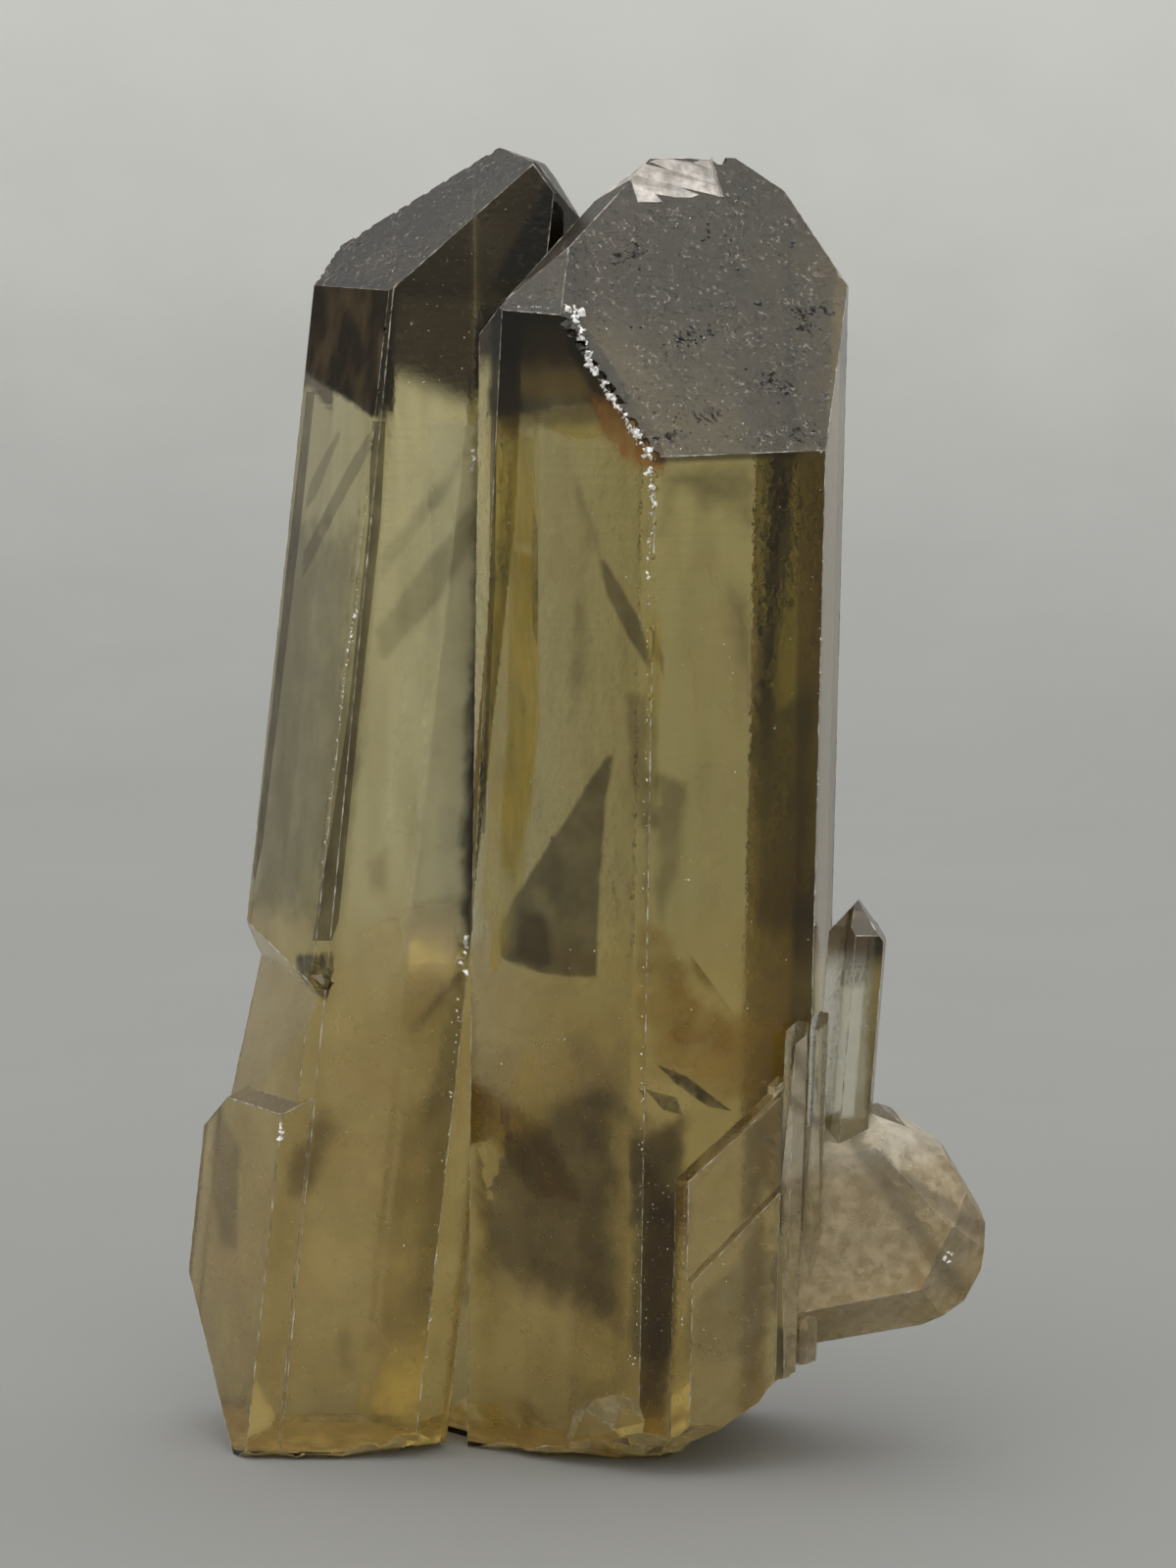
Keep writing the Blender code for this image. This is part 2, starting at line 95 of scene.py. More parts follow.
# The faces that pieces are placed on: compass angle, then reach from the axis or height on it
FACES = {
    "left_front": side(LEFT_AXIS, 0, 6.15),
    "left_left": side(LEFT_AXIS, 300, 8.0),
    "left_strip": side(LEFT_AXIS, 330, 7.72, -0.3),
    "left_foot": side(LEFT_AXIS, 300, 8.95),
    "left_tip": tip(LEFT_AXIS, 300, 79.1),
    "right_front": side(RIGHT_AXIS, 0, 5.7),
    "right_left": side(RIGHT_AXIS, 300, 6.9),
    "right_tip": tip(RIGHT_AXIS, 0, 68.1),
    "right_tip_left": tip(RIGHT_AXIS, 300, 77.1),
    "plate": side(RIGHT_AXIS, 0, 6.5),
    "small": side(SMALL_AXIS, 0, 1.42),
    "lump": (Vector((-0.07, -0.995, 0.07)), Vector((18.18, -4.88, 14.78))),
}

TILT = math.radians(VIEW_ELEVATION)
EYE = VIEW_TARGET + VIEW_DISTANCE * Vector((0.0, -math.cos(TILT), math.sin(TILT)))
VIEW_FORWARD = (VIEW_TARGET - EYE).normalized()
VIEW_UP = Vector((0.0, math.sin(TILT), math.cos(TILT)))
FOCAL = VIEW_DISTANCE * VIEW_SCALE


def sight(u, v):
    """The direction of the sight line through a pixel."""
    across = (u - VIEW_WIDTH / 2.0) / FOCAL
    up = (VIEW_HEIGHT / 2.0 - v) / FOCAL
    return (VIEW_FORWARD + Vector((across, 0.0, 0.0)) + VIEW_UP * up).normalized()


def on_face(u, v, face):
    """The point of a face seen at a pixel."""
    normal, point = FACES[face]
    ray = sight(u, v)
    return EYE + ray * ((point - EYE).dot(normal) / ray.dot(normal))


def inside(u, v, face, depth):
    """The point at a depth behind a face that shows at a pixel, through the bent sight line."""
    normal, _ = FACES[face]
    ray = sight(u, v)
    cosine = -ray.dot(normal)
    ratio = 1.0 / QUARTZ_IOR
    inner = math.sqrt(1.0 - ratio * ratio * (1.0 - cosine * cosine))
    bent = (ray * ratio + normal * (ratio * cosine - inner)).normalized()
    return on_face(u, v, face) + bent * (depth / -bent.dot(normal))


def seen_line(face, first, second):
    """A plane in depth through a line seen on a face; its normal points up for a line to the right."""
    start, end = on_face(*first, face), on_face(*second, face)
    return (end - start).cross(Vector((0.0, 1.0, 0.0))).normalized(), start


class Shader:
    """Short calls for building a material's nodes."""

    def __init__(self, name):
        self.material = bpy.data.materials.new(name)
        self.material.use_nodes = True
        self.tree = self.material.node_tree
        self.tree.nodes.clear()
        self.output = self.tree.nodes.new("ShaderNodeOutputMaterial")
        self.bsdf = self.tree.nodes.new("ShaderNodeBsdfPrincipled")
        self.link(self.bsdf.outputs["BSDF"], self.output.inputs["Surface"])
        place = self.tree.nodes.new("ShaderNodeTexCoord").outputs["Object"]
        self.mm = self.vector("SCALE", place)
        self.mm.node.inputs["Scale"].default_value = 1.0 / MM
        self.x, _, self.z = self.split(self.mm)

    def link(self, source, target):
        self.tree.links.new(source, target)

    def feed(self, socket, value):
        """Links a node's output to a socket, or sets the socket to a number, vector or color."""
        if isinstance(value, bpy.types.NodeSocket):
            self.link(value, socket)
        else:
            socket.default_value = value

    def set(self, name, value):
        """Feeds one of the surface's own sockets."""
        self.feed(self.bsdf.inputs[name], value)

    def math(self, operation, *values, clamp=False):
        node = self.tree.nodes.new("ShaderNodeMath")
        node.operation = operation
        node.use_clamp = clamp
        for socket, value in zip(node.inputs, values):
            self.feed(socket, value)
        return node.outputs[0]

    def plus(self, first, second):
        return self.math("ADD", first, second)

    def times(self, first, second):
        return self.math("MULTIPLY", first, second)

    def most(self, first, second):
        return self.math("MAXIMUM", first, second)

    def rest(self, share):
        """What is left of 1."""
        return self.math("SUBTRACT", 1.0, share)

    def centered(self, value):
        """A noise from 0 to 1 as a swing about 0."""
        return self.math("SUBTRACT", value, 0.5)

    def vector(self, operation, *values):
        node = self.tree.nodes.new("ShaderNodeVectorMath")
        node.operation = operation
        for socket, value in zip(node.inputs, values):
            self.feed(socket, value)
        return node.outputs["Value"] if operation == "DOT_PRODUCT" else node.outputs["Vector"]

    def split(self, vector):
        node = self.tree.nodes.new("ShaderNodeSeparateXYZ")
        self.link(vector, node.inputs[0])
        return node.outputs

    def above(self, normal, point):
        """Distance in millimetres in front of a plane."""
        dot = self.vector("DOT_PRODUCT", self.mm, tuple(normal))
        return self.math("SUBTRACT", dot, Vector(normal).dot(Vector(point)))

    def ramp(self, value, low, high, start=0.0, end=1.0):
        """A smooth step of a value between low and high."""
        node = self.tree.nodes.new("ShaderNodeMapRange")
        node.interpolation_type = "SMOOTHSTEP"
        self.feed(node.inputs["Value"], value)
        node.inputs["From Min"].default_value = low
        node.inputs["From Max"].default_value = high
        node.inputs["To Min"].default_value = start
        node.inputs["To Max"].default_value = end
        return node.outputs["Result"]

    def noise(self, scale, detail=3.0, rough=0.5, stretch=None):
        """Noise with scale in cells a millimetre, stretched along the axes if asked."""
        place = self.vector("MULTIPLY", self.mm, tuple(stretch)) if stretch else self.mm
        node = self.tree.nodes.new("ShaderNodeTexNoise")
        self.link(place, node.inputs["Vector"])
        node.inputs["Scale"].default_value = scale
        node.inputs["Detail"].default_value = detail
        node.inputs["Roughness"].default_value = rough
        return node.outputs["Fac"]

    def mix(self, share, first, second):
        """One color or another by a share."""
        node = self.tree.nodes.new("ShaderNodeMix")
        node.data_type = "RGBA"
        self.feed(node.inputs[0], share)
        self.feed(node.inputs[6], first)
        self.feed(node.inputs[7], second)
        return node.outputs[2]

    def attribute(self, name):
        node = self.tree.nodes.new("ShaderNodeAttribute")
        node.attribute_name = name
        return node.outputs["Fac"]

    def bump(self, height, distance, strength):
        """Bends the surface's normal by a height, with distance in millimetres."""
        node = self.tree.nodes.new("ShaderNodeBump")
        node.inputs["Strength"].default_value = strength
        node.inputs["Distance"].default_value = distance * MM
        self.link(height, node.inputs["Height"])
        self.set("Normal", node.outputs["Normal"])


def color(red, green, blue):
    return (red, green, blue, 1.0)


# The quartz's colors
TIP_SMOKE = color(0.045, 0.033, 0.021)
TIP_SMOKE_LIGHT = color(0.12, 0.098, 0.082)
LEFT_BODY = color(0.98, 0.95, 0.84)
LEFT_BAND = color(0.68, 0.64, 0.50)
RIGHT_BODY = color(0.74, 0.68, 0.50)
RIGHT_STREAK = color(0.40, 0.34, 0.22)
BASE_TAN = color(0.66, 0.51, 0.27)
BASE_LIGHT = color(0.90, 0.74, 0.45)
SMALL_PALE = color(0.97, 0.96, 0.94)
SMALL_SMOKE = color(0.25, 0.19, 0.13)
LUMP_TAN = color(0.80, 0.73, 0.62)
WARM_GLOSS = color(1.0, 0.95, 0.83)
ABSORBED_TINT = color(0.76, 0.66, 0.05)
ABSORPTION = 66.0                      # a metre

# Where the color zones start and end: places along an axis, or distances from a line or face
JOIN_X = (-6.4, -5.9)                  # from the left crystal to the right one
STRIP_EDGE = (-0.2, 0.2)               # from the left crystal's band to its front
BASE_Z = (35.0, 27.0)
BASE_WANDER = 12.0
BASE_SHARE = 0.85
RIGHT_SMOKE_Z = (64.0, 66.0)
TIP_SKIN = (-0.35, -0.12)              # smoke close under the broad tip face
BAND_SMOKE = (-0.25, 0.35)
FRONT_SMOKE = (-0.4, 1.5)
SMALL_X, SMALL_Z = (12.2, 12.6), (20.3, 21.0)
SMALL_SMOKE_Z = (29.0, 31.0)
LUMP_X, LUMP_Z = (10.9, 12.0), (21.0, 20.3)

# Lines on the left crystal, each through two pixels: its front edge, and the smoke's lower edge
STRIP_LINE = ((366, 730), (393, 450))
BAND_SMOKE_LINE = ((327, 389), (380, 425))
FRONT_SMOKE_LINE = ((387, 386), (486, 428))

# Roughness of clear quartz, and what the sheen on smoky slopes, the cloudy base, the broken lump
# and faint frost add to it
CLEAR_ROUGHNESS = 0.03
SHEEN_ROUGHNESS, BASE_ROUGHNESS, LUMP_ROUGHNESS, FROST_ROUGHNESS = 0.3, 0.17, 0.2, 0.08
SLOPING = (0.2, 0.4)                   # upward share of the normal of a sloping face
FRONTAL, FRONTAL_SHEEN = (-0.8, -0.95), 0.6


def quartz_zones(s, fine, wander):
    """Masks from 0 to 1 of the color zones."""
    right = s.ramp(s.x, *JOIN_X)
    band = s.ramp(s.above(*seen_line("left_front", *STRIP_LINE)), *STRIP_EDGE)
    base = s.ramp(s.plus(s.z, s.times(wander, BASE_WANDER)), *BASE_Z)

    wobble = s.times(fine, 0.5)
    band_line = s.plus(s.above(*seen_line("left_left", *BAND_SMOKE_LINE)), wobble)
    front_line = s.plus(s.above(*seen_line("left_front", *FRONT_SMOKE_LINE)), wobble)
    front_smoke = s.times(s.ramp(front_line, *FRONT_SMOKE), s.rest(band))
    left_smoke = s.plus(s.times(s.ramp(band_line, *BAND_SMOKE), band), front_smoke)
    left_smoke = s.times(left_smoke, s.rest(right))
    height = s.ramp(s.plus(s.z, s.times(fine, 2.0)), *RIGHT_SMOKE_Z)
    tip_skin = s.ramp(s.above(*FACES["right_tip"]), *TIP_SKIN)
    right_smoke = s.times(s.most(height, tip_skin), right)
    smoke = s.most(left_smoke, right_smoke)

    small = s.times(s.ramp(s.x, *SMALL_X), s.ramp(s.z, *SMALL_Z))
    lump = s.times(s.ramp(s.x, *LUMP_X), s.ramp(s.z, *LUMP_Z))
    return {"right": right, "band": band, "base": base, "smoke": smoke, "small": small, "lump": lump}


def quartz_color(s, zones, wander):
    """The zones' colors laid over each other."""
    body = s.mix(zones["right"], s.mix(zones["band"], LEFT_BODY, LEFT_BAND), RIGHT_BODY)
    streaks = s.noise(0.55, detail=1.0, rough=0.55, stretch=(1.2, 1.2, 0.25))
    body = s.mix(s.times(s.ramp(streaks, 0.45, 0.75), 0.35), body, RIGHT_STREAK)
    cloud = s.noise(0.22, detail=2.0, rough=0.6)
    base_color = s.mix(s.ramp(cloud, 0.35, 0.7), BASE_TAN, BASE_LIGHT)
    body = s.mix(s.times(zones["base"], BASE_SHARE), body, base_color)
    smoke_color = s.mix(s.ramp(s.noise(0.14, detail=1.0), 0.4, 0.7), TIP_SMOKE, TIP_SMOKE_LIGHT)
    body = s.mix(zones["smoke"], body, smoke_color)
    small_color = s.mix(s.ramp(s.plus(s.z, wander), *SMALL_SMOKE_Z), SMALL_PALE, SMALL_SMOKE)
    body = s.mix(zones["small"], body, small_color)
    return s.mix(zones["lump"], body, LUMP_TAN)


def quartz_sheen(s, zones):
    """Where smoky faces slope or look to the front, which gives them a satin sheen."""
    normal = s.split(s.tree.nodes.new("ShaderNodeNewGeometry").outputs["True Normal"])
    frontal = s.ramp(normal[1], *FRONTAL, 0.0, FRONTAL_SHEEN)
    return s.times(zones["smoke"], s.most(s.ramp(normal[2], *SLOPING), frontal))


def quartz_material():
    """Clear quartz with smoky tips, a green-gray left body, an olive right body and a tan base."""
    s = Shader("smoky_quartz_clear")
    wander = s.centered(s.noise(0.35, detail=2.0, rough=0.6))
    fine = s.centered(s.noise(1.6, detail=2.0, rough=0.6))
    zones = quartz_zones(s, fine, wander)
    sheen = quartz_sheen(s, zones)

    s.set("Base Color", quartz_color(s, zones, wander))
    s.set("Transmission Weight", 1.0)
    s.set("IOR", QUARTZ_IOR)
    s.set("Metallic", 0.0)
    s.set("Specular Tint", WARM_GLOSS)

    rough = CLEAR_ROUGHNESS
    for mask, more in ((sheen, SHEEN_ROUGHNESS), (zones["base"], BASE_ROUGHNESS),
                       (zones["lump"], LUMP_ROUGHNESS), (s.ramp(fine, 0.02, 0.2), FROST_ROUGHNESS)):
        rough = s.plus(rough, s.times(mask, more))
    s.set("Roughness", rough)

    striae = s.noise(0.5, detail=1.0, rough=0.6, stretch=(0.15, 0.15, 6.0))
    hillocks = s.noise(1.0, detail=3.0, rough=0.65)
    gritty = s.plus(s.times(sheen, 1.5), s.times(zones["lump"], 1.5))
    grit = s.times(s.noise(3.4, detail=1.0, rough=0.7), gritty)
    relief = s.plus(s.times(striae, 0.5), s.plus(hillocks, grit))
    s.bump(relief, distance=0.05, strength=0.5)

    absorb = s.tree.nodes.new("ShaderNodeVolumeAbsorption")
    absorb.inputs["Color"].default_value = ABSORBED_TINT
    absorb.inputs["Density"].default_value = ABSORPTION
    s.link(absorb.outputs[0], s.output.inputs["Volume"])
    return s.material


VEIL_RIM_NOISE = 1.1                   # how far noise eats into a veil's soft rim
VEIL_GRAIN = (0.25, 0.7)               # noise where a veil is thinnest and where it is full


def veil_material(name, first, second, least, most, stretch, scale):
    """A thin cloud inside the quartz: matt, see-through by noise, and fading out at a ragged rim."""
    s = Shader(name)
    grain = s.noise(scale, detail=2.0, rough=0.6, stretch=stretch)
    patches = s.noise(0.18, detail=1.0)
    s.set("Base Color", s.mix(s.ramp(patches, 0.35, 0.65), first, second))
    s.set("Roughness", 0.9)
    s.set("Specular IOR Level", 0.0)
    cover = s.times(s.ramp(grain, *VEIL_GRAIN, least, 1.0), s.attribute("strength"))
    rim = s.ramp(s.plus(s.attribute("rim"), s.times(s.centered(grain), VEIL_RIM_NOISE)), 0.0, 1.0)
    s.set("Alpha", s.math("MULTIPLY", rim, s.times(cover, most), clamp=True))
    return s.material


def fleck_material():
    """Freshly broken quartz: white, with a few gray grains. The same white paints the specks, which are
    painted glints.
    """
    s = Shader("broken_white_and_glints")
    gray = s.ramp(s.noise(2.5, rough=0.6), 0.3, 0.7)
    s.set("Base Color", s.mix(gray, color(0.62, 0.60, 0.56), color(0.90, 0.89, 0.86)))
    s.set("Roughness", 0.3)
    s.bump(s.noise(4.0, rough=0.6), distance=0.05, strength=0.6)
    return s.material


def pit_shade_material():
    """Painted shade for the dark insides of etch pits."""
    s = Shader("painted_pit_shade")
    tone = s.ramp(s.noise(3.0), 0.4, 0.6)
    s.set("Base Color", s.mix(tone, color(0.008, 0.007, 0.006), color(0.09, 0.08, 0.07)))
    s.set("Roughness", 0.7)
    s.set("Specular IOR Level", 0.25)
    return s.material


def edge_line_material():
    """A painted edge highlight, pale with darker stretches of painted shade, that comes and goes along an
    edge.
    """
    s = Shader("painted_edge_lines")
    tone = s.ramp(s.noise(1.5), 0.35, 0.65)
    s.set("Base Color", s.mix(tone, color(0.20, 0.17, 0.11), color(0.62, 0.59, 0.52)))
    s.set("Roughness", 0.4)
    s.set("Alpha", s.ramp(s.noise(0.7, detail=4.0, rough=0.6), 0.35, 0.65, 0.25, 0.9))
    return s.material


FROST_LEAST = 0.55                     # the thinnest frost, as a share of the fullest


def skin_material(name, first, second, cover):
    """A frosted broken surface that lets some of the quartz below show through; the base bed and the rim
    frost also use it as painted light.
    """
    s = Shader(name)
    s.set("Base Color", s.mix(s.ramp(s.noise(1.2, detail=4.0, rough=0.6), 0.3, 0.7), first, second))
    s.set("Roughness", 0.35)
    s.set("Alpha", s.ramp(s.noise(0.8, detail=5.0, rough=0.65), 0.3, 0.7, cover * FROST_LEAST, cover))
    s.bump(s.noise(3.0, rough=0.6), distance=0.04, strength=0.5)
    return s.material


def grain_shade_and_sheen_material():
    """Fine pits and grains of the etched tips, dark and pale over the smoky quartz: the dark ones painted
    shade in the pits, the pale ones painted sheen.
    """
    s = Shader("tip_grain_shade_and_sheen")
    fine = s.noise(4.0, detail=2.0, rough=0.7)
    broad = s.noise(0.5, detail=2.0, rough=0.6)
    tone = s.ramp(s.noise(2.2, detail=2.0, rough=0.6), 0.45, 0.6)
    s.set("Base Color", s.mix(tone, color(0.012, 0.010, 0.008), color(0.34, 0.30, 0.25)))
    s.set("Roughness", 0.45)
    s.set("Alpha", s.times(s.ramp(fine, 0.46, 0.72), s.ramp(broad, 0.35, 0.7, 0.12, 0.75)))
    s.bump(fine, distance=0.05, strength=0.8)
    return s.material


def facet_shade_material():
    """The darkest smoke close under the left crystal's left facet, laid on as a dark skin that dulls its
    gloss: partly the quartz's own smoke, partly painted shade over the facet's reflection.
    """
    s = Shader("umber_facet_shade")
    wobble = s.times(s.centered(s.noise(1.6, detail=2.0, rough=0.6)), 0.5)
    line = s.plus(s.above(*seen_line("left_left", *BAND_SMOKE_LINE)), wobble)
    patches = s.noise(0.45, detail=2.0, rough=0.6, stretch=(1.0, 1.0, 0.6))
    tone = s.ramp(patches, 0.45, 0.7)
    s.set("Base Color", s.mix(tone, color(0.014, 0.009, 0.003), color(0.07, 0.046, 0.018)))
    s.set("Roughness", 0.6)
    s.set("Specular IOR Level", 0.15)
    s.set("Alpha", s.times(s.ramp(line, *BAND_SMOKE), s.ramp(patches, 0.3, 0.8, 0.92, 0.6)))
    return s.material


# Painted shade on the broken lump: dark bands standing for its shaded facets, each through two pixels and
# with a half width
LUMP_SHADE_BANDS = (((895, 1195), (965, 1298), 0.6), ((925, 1205), (972, 1240), 0.4))
FACET_SHADE_COLOR, FACET_SHADE_COVER = color(0.09, 0.068, 0.04), 0.6
# The lump's creamy upper left: its lower edge through two pixels, and how it fades in
CREAM_LINE = ((850, 1200), (990, 1190))
CREAM_FADE = (-0.6, 1.6)
CREAM = color(0.66, 0.60, 0.48)
LUMP_COVER = 0.72


def lump_material():
    """Broken pale quartz with a creamy upper left, and two dark slanting bands of painted shade for its
    shaded facets.
    """
    s = Shader("lump_frost_and_shade")
    wobble = s.times(s.centered(s.noise(0.8, rough=0.6)), 1.2)
    facet_shade = None
    for start, end, width in LUMP_SHADE_BANDS:
        gap = s.plus(s.above(*seen_line("lump", start, end)), wobble)
        band = s.ramp(s.math("ABSOLUTE", gap), width * 1.6, width * 0.2)
        facet_shade = s.most(facet_shade, band) if facet_shade else band
    tone = s.mix(s.ramp(s.noise(1.2, rough=0.6), 0.3, 0.7), color(0.27, 0.20, 0.11), color(0.46, 0.37, 0.23))
    cream = s.ramp(s.plus(s.above(*seen_line("lump", *CREAM_LINE)), wobble), *CREAM_FADE)
    tone = s.mix(s.times(cream, 0.8), tone, CREAM)
    s.set("Base Color", s.mix(s.times(facet_shade, 0.65), tone, FACET_SHADE_COLOR))
    s.set("Roughness", 0.35)
    frost = s.ramp(s.noise(0.8, detail=4.0, rough=0.65), 0.3, 0.7, LUMP_COVER * FROST_LEAST, LUMP_COVER)
    s.set("Alpha", s.most(s.times(facet_shade, FACET_SHADE_COVER), frost))
    s.bump(s.noise(2.0, detail=4.0, rough=0.65), distance=0.08, strength=0.8)
    return s.material


DOUBLED = 1e-7                         # vertices closer than this, in metres, are one


def solid_mesh(joined=True):
    """The solid in millimetres, with its doubled vertices joined unless asked otherwise."""
    bm = bmesh.new()
    bm.from_mesh(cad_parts[NODE].data)
    if joined:
        bmesh.ops.remove_doubles(bm, verts=bm.verts, dist=DOUBLED)
    bmesh.ops.transform(bm, matrix=Matrix.Scale(1.0 / MM, 4), verts=bm.verts)
    return bm


def finished(name, bm, material):
    """Turns a mesh in millimetres into a piece of the cluster."""
    bmesh.ops.transform(bm, matrix=Matrix.Scale(MM, 4), verts=bm.verts)
    mesh = bpy.data.meshes.new(name)
    bm.to_mesh(mesh)
    bm.free()
    piece = bpy.data.objects.new(name, mesh)
    bpy.context.scene.collection.objects.link(piece)
    mesh.materials.append(material)
    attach(piece, "root")
    return piece


def clear_cluster():
    """The quartz itself, with the solid's own flat faces."""
    bm = solid_mesh()
    for face in bm.faces:
        face.smooth = False
    piece = finished("clear_quartz", bm, quartz_material())
    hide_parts(NODE)
    return piece


def solid_tree():
    """The solid's surface, for finding what lies inside it."""
    bm = solid_mesh(joined=False)
    tree = BVHTree.FromBMesh(bm)
    bm.free()
    return tree


VEIL_CELL = 0.75                       # longest edge of a veil's mesh
VEIL_SKIN = 0.06                       # least depth of a veil below the quartz's surface
VEIL_REACH = 0.35                      # a veil's vertex further out than this is dropped
VEIL_RIPPLE = 0.25                     # how far a veil wanders from flat
VEIL_RIPPLE_SHARE = 0.4                # and at most this share of its depth
VEIL_WAVE = 0.3                        # waves a millimetre
VEIL_SPLITS = 8                        # most rounds of splitting long edges
# A vertex's rim value: its distance from the rim in feather widths, less a start and up to a most
RIM_START, RIM_MOST, HARD_RIM = 0.2, 1.6, 2.0

SURFACE = solid_tree()


def kept_inside(point):
    """A point moved below the surface where it would stick out a little, and none where it is far out."""
    near, normal, _, _ = SURFACE.find_nearest(point)
    out = (point - near).dot(normal)
    if out > VEIL_REACH:
        return None
    if out > -VEIL_SKIN:
        return near - normal * VEIL_SKIN
    return point


def drop_loose(bm):
    loose = [vertex for vertex in bm.verts if not vertex.link_faces]
    bmesh.ops.delete(bm, geom=loose, context="VERTS")


def segment_distance(point, start, end):
    run = end - start
    share = max(0.0, min(1.0, (point - start).dot(run) / run.length_squared))
    return (point - start - run * share).length


def flat_sheet(points):
    """A sheet that fills an outline, in small triangles."""
    sheet = bmesh.new()
    sheet.faces.new([sheet.verts.new(point) for point in points])
    bmesh.ops.triangulate(sheet, faces=sheet.faces)
    for _ in range(VEIL_SPLITS):
        long_edges = [edge for edge in sheet.edges if edge.calc_length() > VEIL_CELL]
        if not long_edges:
            break
        bmesh.ops.subdivide_edges(sheet, edges=long_edges, cuts=1)
        bmesh.ops.triangulate(sheet, faces=sheet.faces)
    return sheet


def add_veil(bm, layers, face, depth, feather, strength, outline):
    """Adds one veil, laid behind a face so that it fills an outline given in pixels."""
    points = [inside(u, v, face, depth) for u, v in outline]
    sheet = flat_sheet(points)
    normal = FACES[face][0]
    rims = list(zip(points, points[1:] + points[:1]))
    copies = {}
    for vertex in sheet.verts:
        rim = min(segment_distance(vertex.co, start, end) for start, end in rims)
        wave = noise.noise(vertex.co * VEIL_WAVE) * min(VEIL_RIPPLE, depth * VEIL_RIPPLE_SHARE)
        place = kept_inside(vertex.co - normal * wave)
        if place is None:
            continue
        copy = bm.verts.new(place)
        copy[layers["rim"]] = min(RIM_MOST, rim / feather - RIM_START) if feather else HARD_RIM
        copy[layers["strength"]] = strength
        copies[vertex] = copy
    for item in sheet.faces:
        corners = [copies.get(vertex) for vertex in item.verts]
        if None not in corners and not bm.faces.get(corners):
            bm.faces.new(corners)
    sheet.free()


def veils(name, material, rows):
    """One piece of all the veils of a kind."""
    bm = bmesh.new()
    for key in ("rim", "strength"):
        bm.verts.layers.float.new(key)
    layers = {key: bm.verts.layers.float[key] for key in ("rim", "strength")}
    for row in rows:
        add_veil(bm, layers, *row)
    drop_loose(bm)
    return finished(name, bm, material)


